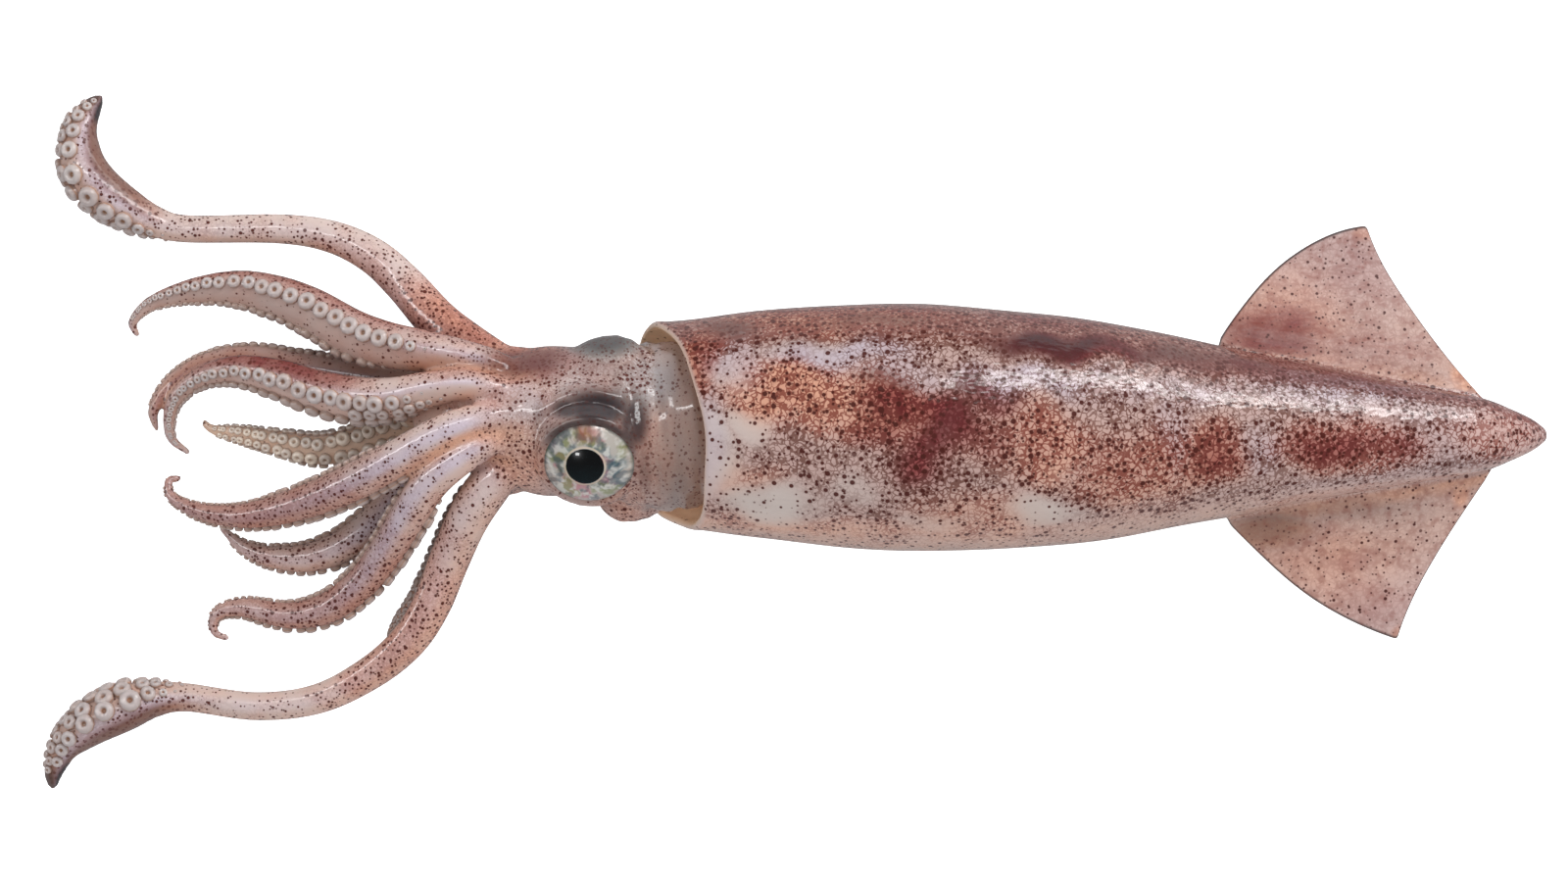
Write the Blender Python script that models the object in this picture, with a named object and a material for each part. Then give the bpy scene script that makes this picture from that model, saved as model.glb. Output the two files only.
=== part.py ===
"""A whole raw squid, lying on a table with its head to -X and its tail to +X.

The mantle is a closed tapering body with a free collar at its mouth and two fins fused to its
tail. The head, its neck, funnel, eight arms and two long tentacles are one body, whose neck
stands in the collar. Each eyeball is a body of its own, seated in a socket of the head.
Sizes are written in millimetres and turned into metres by MM. +Z is up, and the origin lies
under the middle of the whole animal, on the table.
"""
import math

import bpy
import bmesh
from mathutils import Vector

MM = 0.001
GAP = 0.3

# Mantle: the long tapering body
TAIL_X = 172.0
COLLAR_X = -27.0
COLLAR_RAKE_UP = 7.4
COLLAR_RAKE_SIDE = -3.9
RAKE_FADE = 75.0
WALL = 2.4
RIM_ROUND = 0.8
POCKET_X = -6.0
POCKET_FLOOR_INSET = 9.0
# Inside of the pocket from its floor to the collar: (share of its depth, inset from the skin)
POCKET_WALL = ((1.0, WALL + 1.2), (0.85, WALL + 0.2), (0.4, WALL), (0.0, WALL))
AXIS_SIDE_TAIL = 1.6
AXIS_SIDE_COLLAR = 4.4
BELLY_FLAT = 0.6
TAIL_LIFT = 5.6
TAIL_LIFT_START = 80.0
FLATTENING_FRONT = 0.87
FLATTENING_TAIL = 0.97
# Half width of the mantle along its length: (x, half width)
MANTLE_PROFILE = (
    (-36.0, 22.4), (-24.0, 23.4), (-8.0, 25.5), (10.0, 27.1), (30.0, 27.6), (50.0, 26.7),
    (68.0, 24.7), (95.0, 19.6), (120.0, 14.7), (145.0, 10.3), (156.0, 8.3), (163.0, 5.8),
    (168.0, 3.6), (171.2, 1.4), (172.0, 0.0),
)
MANTLE_STATIONS = (
    -27.0, -24.0, -16.0, -4.0, 10.0, 26.0, 42.0, 56.0, 68.0, 80.0, 92.0, 103.0, 113.0, 123.0,
    133.0, 142.0, 150.0, 156.0, 160.5, 164.5, 168.0, 170.4, 171.6,
)
MANTLE_SIDES = 32

# Fins: (front of root, control of leading edge, tip, control of trailing edge, end of root)
FIN_FAR = ((95.0, 21.0), (111.5, 47.5), (131.2, 49.6), (137.2, 31.8), (158.2, 8.0))
FIN_NEAR = ((96.0, -15.5), (116.5, -38.5), (138.2, -45.2), (141.8, -31.5), (159.2, -5.5))
FIN_TIP_ROW = 7
FIN_ROOT_SINK = 0.55
FIN_ROOT_THICK = 3.4
FIN_EDGE_THICK = 1.0
FIN_EDGE_Z = 1.2
FIN_DROOP_POWER = 1.4
FIN_FULL_REACH = 30.0
FIN_ROWS = 12
FIN_COLUMNS = 5

# Head and neck: (x, side, height, half width, half height)
HEAD_SECTIONS = (
    (-73.5, 4.5, 18.5, 5.0, 5.5), (-69.0, 4.6, 18.4, 10.0, 10.0), (-62.5, 4.8, 18.0, 14.8, 13.8),
    (-55.5, 4.8, 17.6, 16.8, 15.4), (-46.0, 4.9, 17.8, 17.0, 16.0), (-38.0, 4.7, 18.4, 17.6, 15.8),
    (-30.0, 4.3, 19.1, 18.0, 15.8), (-20.0, 4.1, 19.9, 17.8, 15.8), (-10.0, 4.0, 20.3, 16.8, 15.0),
    (-7.0, 4.0, 20.3, 13.6, 12.0),
)
HEAD_NOSE_X = -75.0
NECK_END_X = POCKET_X - 0.5
HEAD_SIDES = 24

# Eyeballs: centre, the way each looks, half width and half depth
EYE_NEAR = ((-45.6, -2.2, 29.6), (0.0, -0.5, 0.866), 11.5, 9.0)
EYE_FAR = ((-42.8, 15.6, 13.4), (0.0, 0.99, 0.1), 9.8, 8.6)
EYE_SEGMENTS = 24
EYE_RINGS = 12

# Funnel under the neck: (x, y, z, radius)
FUNNEL = (
    (-22.0, -2.0, 12.5, 5.0), (-28.5, -4.4, 12.2, 5.2), (-34.0, -9.8, 10.8, 5.7),
    (-38.0, -12.5, 9.6, 5.8), (-42.0, -12.4, 9.6, 3.8),
)

# Limbs: the oral side's turn from straight up at base and tip in degrees, then the route from
# the head to the tip as (x, y, z, radius)
LIMBS = {
    "tentacle_far": ((-180.0, -45.0), (
        (-56.0, 13.0, 17.0, 3.4), (-65.0, 17.0, 16.0, 4.4), (-73.5, 22.0, 14.0, 4.9),
        (-81.0, 27.5, 10.5, 5.0), (-89.0, 36.0, 6.4, 4.7), (-96.5, 42.5, 4.9, 4.4),
        (-106.0, 46.8, 4.1, 4.0), (-118.0, 48.5, 3.8, 3.7), (-139.0, 48.5, 3.7, 3.5),
        (-147.0, 50.4, 4.2, 4.0), (-153.3, 53.5, 5.2, 5.1), (-159.2, 57.9, 5.9, 5.8),
        (-162.8, 63.3, 5.5, 5.5), (-163.7, 70.0, 4.4, 4.3), (-162.2, 75.0, 3.2, 3.1),
        (-158.9, 79.4, 1.3, 0.8),
    )),
    "tentacle_near": ((180.0, 40.0), (
        (-56.0, 0.0, 20.0, 3.4), (-64.0, -4.8, 22.0, 4.6), (-69.5, -11.0, 21.4, 5.0),
        (-74.0, -18.0, 18.4, 4.8), (-78.3, -27.0, 14.0, 4.7), (-82.6, -37.0, 11.0, 4.6),
        (-88.2, -45.2, 8.2, 4.5), (-97.0, -52.4, 5.0, 4.2), (-109.0, -58.3, 4.0, 3.8),
        (-123.0, -60.0, 3.7, 3.6), (-139.0, -58.0, 3.8, 3.6), (-147.0, -58.5, 4.6, 4.5),
        (-154.0, -60.6, 5.8, 5.8), (-161.2, -64.3, 5.3, 5.2), (-166.8, -69.1, 3.9, 3.7),
        (-169.6, -75.0, 2.6, 2.3), (-170.0, -79.2, 1.2, 0.8),
    )),
    "arm_1": ((-60.0, -45.0), (
        (-55.5, 11.5, 22.0, 3.2), (-67.0, 16.5, 23.5, 4.0), (-76.0, 18.8, 22.5, 4.7),
        (-84.0, 20.2, 19.8, 5.2), (-92.5, 21.8, 16.4, 5.6), (-100.5, 24.5, 13.2, 5.8),
        (-110.5, 30.0, 9.2, 5.5), (-119.5, 33.4, 6.4, 5.0), (-128.0, 35.0, 4.9, 4.2),
        (-138.0, 34.3, 3.8, 3.0), (-147.0, 31.7, 2.7, 1.8), (-151.4, 27.6, 1.9, 1.1),
        (-150.4, 24.5, 1.4, 0.6),
    )),
    "arm_2": ((70.0, 60.0), (
        (-55.5, 9.5, 15.0, 3.0), (-69.0, 12.0, 12.5, 3.6), (-80.0, 13.0, 9.5, 3.8),
        (-91.0, 14.2, 6.4, 3.9), (-102.0, 15.8, 4.8, 3.9), (-114.0, 17.8, 4.2, 3.7),
        (-125.0, 19.5, 3.8, 3.3), (-134.4, 18.2, 3.3, 2.7), (-142.3, 13.8, 2.8, 2.2),
        (-146.8, 7.4, 2.2, 1.4), (-146.1, 3.0, 1.4, 0.6),
    )),
    "arm_3": ((-60.0, -50.0), (
        (-55.5, 7.5, 24.0, 3.2), (-66.0, 11.2, 27.4, 3.6), (-73.5, 12.6, 27.6, 3.8),
        (-82.0, 11.5, 25.4, 4.4), (-90.5, 9.6, 21.8, 5.0), (-99.0, 9.6, 18.2, 5.3),
        (-108.0, 11.4, 15.2, 5.0), (-117.0, 14.4, 12.6, 4.5), (-127.0, 16.2, 9.9, 3.5),
        (-136.0, 14.2, 7.0, 2.5), (-141.8, 8.8, 4.3, 1.9), (-142.7, 1.5, 2.6, 1.2),
        (-138.8, -2.3, 1.4, 0.6),
    )),
    "arm_4": ((-10.0, -10.0), (
        (-55.5, 5.2, 13.0, 3.0), (-69.0, 6.0, 10.5, 3.4), (-82.0, 5.0, 7.4, 3.8),
        (-92.0, 2.4, 5.2, 3.9), (-101.0, -0.4, 4.3, 3.8), (-109.0, -1.6, 3.9, 3.5),
        (-118.0, 0.0, 3.4, 2.8), (-127.0, 1.8, 2.7, 2.0), (-133.0, 2.9, 2.0, 1.1),
        (-135.4, 4.6, 1.4, 0.6),
    )),
    "arm_5": ((180.0, 180.0), (
        (-55.5, 4.3, 24.0, 3.2), (-64.5, 5.6, 28.8, 3.6), (-72.0, 4.6, 29.8, 3.8),
        (-80.0, 1.4, 28.6, 4.0), (-90.0, -4.2, 24.4, 4.3), (-101.0, -9.8, 18.2, 4.3),
        (-113.0, -14.2, 12.2, 3.8), (-124.5, -16.7, 8.2, 2.9), (-134.5, -16.1, 5.3, 2.0),
        (-142.0, -12.9, 3.3, 1.2), (-143.3, -9.0, 2.2, 0.9), (-140.9, -8.2, 1.4, 0.6),
    )),
    "arm_6": ((180.0, 180.0), (
        (-55.5, 2.5, 13.0, 3.0), (-69.0, 1.5, 10.5, 3.4), (-78.5, -1.8, 8.0, 3.8),
        (-86.5, -8.2, 5.9, 4.0), (-93.5, -16.0, 4.7, 4.0), (-101.0, -22.5, 4.2, 3.9),
        (-110.0, -26.2, 3.8, 3.4), (-119.0, -26.3, 3.2, 2.6), (-126.0, -24.0, 2.4, 1.6),
        (-131.2, -19.6, 1.4, 0.6),
    )),
    "arm_7": ((180.0, 180.0), (
        (-55.5, 1.6, 23.0, 3.2), (-63.5, 1.3, 27.4, 3.4), (-70.0, -0.8, 28.8, 3.7),
        (-76.5, -4.8, 27.6, 4.0), (-82.0, -9.6, 24.6, 4.2), (-87.0, -16.8, 19.8, 4.2),
        (-92.5, -25.0, 14.0, 4.0), (-98.0, -31.6, 9.8, 3.8), (-106.0, -37.6, 6.4, 3.6),
        (-115.5, -39.6, 4.4, 3.0), (-126.0, -37.8, 3.1, 2.2), (-132.2, -39.4, 2.3, 1.4),
        (-132.8, -43.4, 1.8, 0.9), (-129.9, -44.9, 1.4, 0.6),
    )),
    "arm_8": ((90.0, 90.0), (
        (-55.5, -0.2, 12.0, 3.0), (-64.5, -3.8, 9.5, 3.4), (-71.5, -9.4, 7.0, 3.6),
        (-77.0, -17.2, 5.0, 3.6), (-81.2, -26.4, 4.2, 3.4), (-86.0, -35.4, 3.5, 2.8),
        (-90.4, -41.3, 2.7, 2.0), (-92.4, -45.0, 2.0, 1.2), (-92.2, -47.6, 1.3, 0.6),
    )),
}
LIMB_SIDES = 10
FUNNEL_SIDES = 12
LIMB_STEPS = 2
ORAL_FLATNESS = 0.8
TIP_LENGTH = 0.8
ROOT_LENGTH = 0.2

SKIN_MANTLE = ("mantle_skin", (0.55, 0.33, 0.28, 1.0), 0.32)
SKIN_HEAD = ("head_skin", (0.66, 0.48, 0.42, 1.0), 0.34)
EYE_COAT = ("eye_coat", (0.36, 0.42, 0.40, 1.0), 0.08)


def make_material(finish):
    """A plain finish with a colour, a roughness and no metal."""
    name, colour, roughness = finish
    material = bpy.data.materials.get(name) or bpy.data.materials.new(name)
    material.use_nodes = True
    shader = material.node_tree.nodes["Principled BSDF"]
    shader.inputs["Base Color"].default_value = colour
    shader.inputs["Roughness"].default_value = roughness
    shader.inputs["Metallic"].default_value = 0.0
    return material


def add_object(name, bm, finish):
    """Turn a bmesh in millimetres into a smooth-shaded object in metres."""
    bmesh.ops.recalc_face_normals(bm, faces=bm.faces)
    bmesh.ops.scale(bm, vec=(MM, MM, MM), verts=bm.verts)
    mesh = bpy.data.meshes.new(name)
    bm.to_mesh(mesh)
    bm.free()
    mesh.shade_smooth()
    mesh.materials.append(make_material(finish))
    obj = bpy.data.objects.new(name, mesh)
    bpy.context.collection.objects.link(obj)
    return obj


def join_into(target, tool, operation):
    """Unite a tool body with the target, or cut it away, and leave the tool as a guide."""
    step = target.modifiers.new(f"{operation.lower()}_{tool.name}", "BOOLEAN")
    step.operation = operation
    step.object = tool
    step.solver = "EXACT"
    tool.hide_render = True
    tool.display_type = "WIRE"


def loft(rings, start=None, end=None):
    """A skin over closed rings of points, each end closed by a point."""
    bm = bmesh.new()
    loops = [[bm.verts.new(point) for point in ring] for ring in rings]
    count = len(rings[0])
    for lower, upper in zip(loops, loops[1:]):
        for i in range(count):
            j = (i + 1) % count
            bm.faces.new((lower[i], lower[j], upper[j], upper[i]))
    for pole, loop in ((start, loops[0]), (end, loops[-1])):
        tip = bm.verts.new(pole)
        for i in range(count):
            bm.faces.new((tip, loop[i], loop[(i + 1) % count]))
    return bm


def blend(value, low, high):
    """A smooth rise from 0 at low to 1 at high."""
    t = min(max((value - low) / (high - low), 0.0), 1.0)
    return t * t * (3.0 - 2.0 * t)


def spline(before, a, b, after, t):
    """A point of a Catmull-Rom curve between a and b."""
    return 0.5 * (
        2.0 * a
        + (b - before) * t
        + (2.0 * before - 5.0 * a + 4.0 * b - after) * t * t
        + (3.0 * a - before - 3.0 * b + after) * t ** 3
    )


def smooth_route(points, steps):
    """Points of any size, joined by a smooth curve with extra stations between them."""
    padded = [points[0], *points, points[-1]]
    route = []
    for k in range(1, len(padded) - 2):
        window = padded[k - 1:k + 3]
        for step in range(steps):
            route.append(tuple(spline(*column, step / steps) for column in zip(*window)))
    route.append(tuple(points[-1]))
    return route


def half_width(x):
    """Half width of the mantle at x, on straight stretches between close stations."""
    for (x0, w0), (x1, w1) in zip(MANTLE_OUTLINE, MANTLE_OUTLINE[1:]):
        if x <= x1:
            return w0 + (w1 - w0) * max(x - x0, 0.0) / (x1 - x0)
    return 0.0


def half_height(x):
    """Half height of the mantle, which is flatter in front than at its tail."""
    share = blend(x, COLLAR_X, TAIL_X)
    return half_width(x) * (FLATTENING_FRONT + (FLATTENING_TAIL - FLATTENING_FRONT) * share)


def mantle_axis(x):
    """Side and height of the mantle's middle line."""
    share = min(max((TAIL_X - x) / (TAIL_X - COLLAR_X), 0.0), 1.0)
    side = AXIS_SIDE_TAIL + (AXIS_SIDE_COLLAR - AXIS_SIDE_TAIL) * share ** 1.5
    height = half_height(x) - BELLY_FLAT + TAIL_LIFT * blend(x, TAIL_LIFT_START, TAIL_X)
    return side, height


def mantle_point(x, angle, inset=0.0):
    """A point on the mantle, inset from its skin, at an angle from straight up towards +Y."""
    side, height = mantle_axis(x)
    y = side + (half_width(x) - inset) * math.sin(angle)
    z = height + (half_height(x) - inset) * math.cos(angle)
    return Vector((x, y, max(z, 0.0)))


def collar_x(x, angle):
    """The station x moved by the rake of the collar, which fades out towards the tail."""
    rake = COLLAR_RAKE_UP * math.cos(angle) + COLLAR_RAKE_SIDE * math.sin(angle)
    return x + rake * (1.0 - blend(x, COLLAR_X, COLLAR_X + RAKE_FADE))


def turn(count):
    """The angles of a full turn."""
    return [2.0 * math.pi * i / count for i in range(count)]


def build_mantle():
    """The mantle: pocket round the neck, rolled collar, then the outside down to the tail."""
    angles = turn(MANTLE_SIDES)
    rings = [[mantle_point(POCKET_X, a, POCKET_FLOOR_INSET) for a in angles]]
    for share, inset in POCKET_WALL:
        ring = []
        for a in angles:
            x = collar_x(COLLAR_X, a)
            ring.append(mantle_point(x + (POCKET_X - x) * share, a, inset))
        rings.append(ring)
    rings.append([mantle_point(collar_x(COLLAR_X, a) - RIM_ROUND, a, 0.5 * WALL) for a in angles])
    for station in MANTLE_STATIONS:
        rings.append([mantle_point(collar_x(station, a), a) for a in angles])
    floor = Vector((POCKET_X, *mantle_axis(POCKET_X)))
    tail = Vector((TAIL_X, *mantle_axis(TAIL_X)))
    return add_object("mantle", loft(rings, floor, tail), SKIN_MANTLE)


def bezier(a, b, c, t):
    """A point of a curve that leaves a towards b and arrives at c."""
    return a * (1.0 - t) ** 2 + b * 2.0 * t * (1.0 - t) + c * t * t


def build_fin(name, corners):
    """One fin: a thin plate that starts inside the mantle, droops to the table and ends in a
    leading and a trailing edge, which meet at its tip."""
    front, lead, tip, trail, back = [Vector((x, y, 0.0)) for x, y in corners]
    bm = bmesh.new()
    grids = []
    for face in (1.0, -1.0):
        grid = []
        for row in range(FIN_ROWS + 1):
            if row < FIN_TIP_ROW:
                edge = bezier(front, lead, tip, row / FIN_TIP_ROW)
            else:
                edge = bezier(tip, trail, back, (row - FIN_TIP_ROW) / (FIN_ROWS - FIN_TIP_ROW))
            x = front.x + (back.x - front.x) * row / FIN_ROWS
            side, height = mantle_axis(x)
            sink = half_width(x) * FIN_ROOT_SINK * (1.0 if front.y > 0.0 else -1.0)
            root = Vector((x, side + sink, height))
            line = []
            for column in range(FIN_COLUMNS + 1):
                v = column / FIN_COLUMNS
                point = root.lerp(edge, v)
                droop = (1.0 - v) ** FIN_DROOP_POWER
                reach = min((edge - root).length / FIN_FULL_REACH, 1.0)
                low = FIN_EDGE_Z + (root.z - FIN_EDGE_Z) * (1.0 - reach)
                thick = FIN_EDGE_THICK + (FIN_ROOT_THICK - FIN_EDGE_THICK) * (1.0 - v)
                point.z = low + (root.z - low) * droop + 0.5 * face * thick
                line.append(bm.verts.new(point))
            grid.append(line)
        grids.append(grid)
    skin_grids(bm, *grids)
    return add_object(name, bm, SKIN_MANTLE)


def skin_grids(bm, upper, lower):
    """Cover two grids of points and close the rim between them."""
    rows = len(upper)
    columns = len(upper[0])
    for i in range(rows - 1):
        for j in range(columns - 1):
            for grid in (upper, lower):
                bm.faces.new((grid[i][j], grid[i][j + 1], grid[i + 1][j + 1], grid[i + 1][j]))
    outline = [(i, 0) for i in range(rows)] + [(rows - 1, j) for j in range(1, columns)]
    outline += [(i, columns - 1) for i in range(rows - 2, -1, -1)]
    outline += [(0, j) for j in range(columns - 2, 0, -1)]
    for (i, j), (m, n) in zip(outline, outline[1:] + outline[:1]):
        bm.faces.new((upper[i][j], upper[m][n], lower[m][n], lower[i][j]))


def build_head():
    """The head and neck as rings across X."""
    rings = []
    for x, side, height, wide, high in HEAD_SECTIONS:
        ring = []
        for a in turn(HEAD_SIDES):
            ring.append(Vector((x, side + wide * math.sin(a), height + high * math.cos(a))))
        rings.append(ring)
    nose = Vector((HEAD_NOSE_X, *HEAD_SECTIONS[0][1:3]))
    neck = Vector((NECK_END_X, *HEAD_SECTIONS[-1][1:3]))
    return add_object("head_arms", loft(rings, nose, neck), SKIN_HEAD)


def build_limb(name, turns, points, sides=LIMB_SIDES):
    """A limb swept along its route, flatter on the oral side that carries the suckers."""
    route = smooth_route(points, LIMB_STEPS)
    places = [Vector(station[:3]) for station in route]
    rings = []
    for k, (place, station) in enumerate(zip(places, route)):
        ahead = places[min(k + 1, len(places) - 1)]
        behind = places[max(k - 1, 0)]
        along = (ahead - behind).normalized()
        beside = along.cross(Vector((0.0, 0.0, 1.0))).normalized()
        above = beside.cross(along)
        share = k / (len(places) - 1)
        oral = math.radians(turns[0] + (turns[1] - turns[0]) * share)
        face = above * math.cos(oral) + beside * math.sin(oral)
        across = along.cross(face)
        ring = []
        for a in turn(sides):
            depth = math.cos(a) * (ORAL_FLATNESS if math.cos(a) > 0.0 else 1.0)
            ring.append(place + (face * depth + across * math.sin(a)) * station[3])
        rings.append(ring)
    start = places[0] + (places[0] - places[1]) * ROOT_LENGTH
    tip = places[-1] + (places[-1] - places[-2]).normalized() * route[-1][3] * TIP_LENGTH
    return add_object(name, loft(rings, start, tip), SKIN_HEAD)


def build_eyeball(name, eye, swell=0.0):
    """An eyeball, flattened along the way it looks; swell makes it larger all round."""
    centre, looks, wide, deep = eye
    bm = bmesh.new()
    bmesh.ops.create_uvsphere(bm, u_segments=EYE_SEGMENTS, v_segments=EYE_RINGS, radius=1.0)
    bmesh.ops.scale(bm, vec=(wide + swell, wide + swell, deep + swell), verts=bm.verts)
    facing = Vector((0.0, 0.0, 1.0)).rotation_difference(Vector(looks).normalized())
    bmesh.ops.rotate(bm, cent=(0.0, 0.0, 0.0), matrix=facing.to_matrix(), verts=bm.verts)
    bmesh.ops.translate(bm, vec=centre, verts=bm.verts)
    return add_object(name, bm, EYE_COAT)


MANTLE_OUTLINE = smooth_route(MANTLE_PROFILE, 4)


def main():
    """Clear the scene and build the four bodies."""
    for old in list(bpy.data.objects):
        bpy.data.objects.remove(old, do_unlink=True)
    mantle = build_mantle()
    for name, corners in (("fin_far", FIN_FAR), ("fin_near", FIN_NEAR)):
        join_into(mantle, build_fin(name, corners), "UNION")
    head = build_head()
    join_into(head, build_limb("funnel", (180.0, 180.0), FUNNEL, FUNNEL_SIDES), "UNION")
    for name, (turns, points) in LIMBS.items():
        join_into(head, build_limb(name, turns, points), "UNION")
    for side, eye in (("near", EYE_NEAR), ("far", EYE_FAR)):
        join_into(head, build_eyeball(f"socket_{side}", eye, GAP), "DIFFERENCE")
        build_eyeball(f"eye_{side}", eye)


main()
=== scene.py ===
"""A whole raw squid on a pale table, seen from straight above.

Its head lies to -X and its tail to +X. All sizes are in millimetres until a mesh is made, where
MM turns them into metres. The mantle with its fins, the head with its arms, the suckers and the
two eyeballs are pieces of their own.
"""

import math

import bmesh
import bpy
import numpy as np
from mathutils import Matrix, Vector
from mathutils.bvhtree import BVHTree


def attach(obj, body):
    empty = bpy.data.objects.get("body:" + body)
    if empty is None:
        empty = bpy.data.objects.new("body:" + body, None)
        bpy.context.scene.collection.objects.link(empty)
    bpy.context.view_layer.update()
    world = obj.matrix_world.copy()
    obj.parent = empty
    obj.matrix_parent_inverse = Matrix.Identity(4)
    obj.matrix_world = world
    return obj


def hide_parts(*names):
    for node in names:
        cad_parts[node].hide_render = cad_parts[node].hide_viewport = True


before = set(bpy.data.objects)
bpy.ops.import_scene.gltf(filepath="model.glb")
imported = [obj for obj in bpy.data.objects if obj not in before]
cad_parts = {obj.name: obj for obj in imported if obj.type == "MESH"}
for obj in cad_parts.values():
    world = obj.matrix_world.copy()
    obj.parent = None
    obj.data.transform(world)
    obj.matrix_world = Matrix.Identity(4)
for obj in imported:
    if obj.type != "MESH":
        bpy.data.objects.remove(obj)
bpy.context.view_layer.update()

MM = 0.001
# Lowest place of the mantle's skin and of the limbs' skin above the table
LOWEST = 0.02
LOWEST_LIMB = 0.05

# Mantle
TAIL_X = 172.0
COLLAR_X = -27.0
COLLAR_RAKE_UP = 7.4
COLLAR_RAKE_SIDE = -3.9
RAKE_FADE = 75.0
WALL = 1.4
POCKET_X = -6.0
POCKET_NARROWS = 3.8
POCKET_FLOOR_INSET = 9.0
AXIS_SIDE_TAIL = 1.6
AXIS_SIDE_COLLAR = 4.4
BELLY_FLAT = 0.6
TAIL_LIFT = 5.6
TAIL_LIFT_START = 80.0
FLATTENING_FRONT = 0.87
FLATTENING_TAIL = 0.97
# Half width of the mantle along its length: (x, half width)
MANTLE_PROFILE = (
    (-36, 22.4), (-24, 23.4), (-8, 25.5), (10, 27.1), (30, 27.6), (50, 26.7), (68, 24.7), (95, 19.6),
    (120, 14.7), (145, 10.3), (156, 8.3), (163, 5.8), (168, 3.6), (171.2, 1.4), (172, 0),
)
RIM_SWELL = 0.2
RIM_WAVE = 0.35
# Lip of the collar under the near side: turn from straight up and half width in degrees, reach
RIM_LIP = (-116, 17, 4.2)
LIP_FADE = 14.0
SKIN_UNEVENNESS = 0.22

# Points round one ring of the mantle: ridge to fin root, across one face of a fin, under the belly
BACK_POINTS = 34
FIN_POINTS = 42
BELLY_POINTS = 50

# Fins: (front of root, control of leading edge, tip, control of trailing edge, end of root)
FIN_FAR = ((95, 21), (111.5, 47.5), (131.2, 49.6), (137.2, 31.8), (158.2, 8))
FIN_NEAR = ((96, -15.5), (116.5, -38.5), (138.2, -45.2), (141.8, -31.5), (159.2, -5.5))
FIN_TIP_SHARE = 7.0 / 12.0
# Turns from the ridge to the fin's two faces in degrees, at the fin and ahead of it
FIN_ROOT_UPPER = (97, 72)
FIN_ROOT_LOWER = (112, 132)
# Stretch of the body over which those turns close up
FIN_ROOT_CLOSES = (55, 93)
FIN_THICK = 1.3
FIN_EDGE_THICK = 0.5
FIN_EDGE_ROUND = 0.8
FIN_EDGE_Z = 1.3
FIN_DROOP_POWER = 1.4
FIN_DROOP_REACH = 38.0
FIN_FOLD = 0.7
FIN_FOLD_AT = 6.0
FIN_FOLD_WIDE = 3.2
# Points along a fin's edge, and how many of them a running mean takes to round its tip
FIN_EDGE_POINTS = 601
FIN_TIP_ROUND = 13
# Distance to a fin's edge that stands for no fin
NO_EDGE = 99.0

# Head and neck: (x, side, height, half width, half height)
HEAD_SECTIONS = (
    (-73.5, 4.5, 18.5, 5, 5.5), (-69, 4.6, 18.4, 10, 10), (-62.5, 4.8, 18, 14.8, 13.8),
    (-55.5, 4.8, 17.6, 16.8, 15.4), (-46, 4.8, 17.8, 17, 16), (-38, 4, 18.4, 18, 15.8),
    (-30, 3.6, 19.1, 18.7, 15.8), (-20, 3.8, 19.9, 18, 15.8), (-10, 4, 20.3, 16.8, 15),
    (-7, 4, 20.3, 13.6, 12),
)
HEAD_NOSE = (-75, 4.5, 18.5)
NECK_END = (-6.5, 4, 20.3)
HEAD_SIDES = 72

# Eyeballs: centre, the way each looks, half width, half depth and where the pupil looks
EYES = {
    "eye_near": ((-45.6, -2.2, 29.6), (0, -0.5, 0.866), 11.5, 9, (-0.075, -0.38, 0.92)),
    "eye_far": ((-42.8, 14.6, 13.4), (0, 0.9, -0.43), 9.4, 8.4, (-0.02, 0.95, -0.3)),
}
HOOD_THICK = 1.0
# Height of the eye's opening above its middle, towards the way it looks
HOOD_OPENING = {"eye_near": 4.3, "eye_far": 4.8}
# Swelling of the head round each eye: its middle, half width, half depth and cut height
CHEEKS = {
    "eye_near": ((-45.6, 0.4, 27.4), 14.6, 9.5, 2.6),
    "eye_far": ((-41.2, 13.2, 17.8), 13.2, 10.4, 8),
}
# Fold over the near eye: start and end turn, reach from the eye's middle, height, thickness
LIDS = ((-8, 188, 10.9, 4.2, 1.2), (200, 340, 11.6, 3, 0.9))
# Webs of skin that join the limbs at the front of the head: (x, y, z, radius)
WEBS = (
    ((-55, 14, 17, 6.5), (-62, 15.5, 16.5, 6), (-69, 18.5, 15.5, 5.2), (-75, 23, 13.5, 4.7)),
    ((-66.5, -7.5, 17.5, 6.5), (-68, 2, 18.5, 9), (-66.5, 12.5, 17.5, 7)),
    ((-55, 0, 16, 8), (-62, -3.5, 16, 7), (-68, -9, 14, 5.5), (-72, -15, 12, 4.4)),
    ((-66, 8.6, 23.5, 4.6), (-73, 8.4, 22.5, 4.2), (-80, 6.8, 19, 3.7), (-87, 3.6, 15, 2.8)),
)

# Funnel under the neck: (x, y, z, radius)
FUNNEL = (
    (-22, -2, 12.5, 5), (-28.5, -4.4, 12.2, 5.4), (-34, -10.4, 10.8, 6.2), (-38.4, -12.6, 10.4, 5.8),
    (-43, -11.6, 11, 3.6),
)

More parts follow.
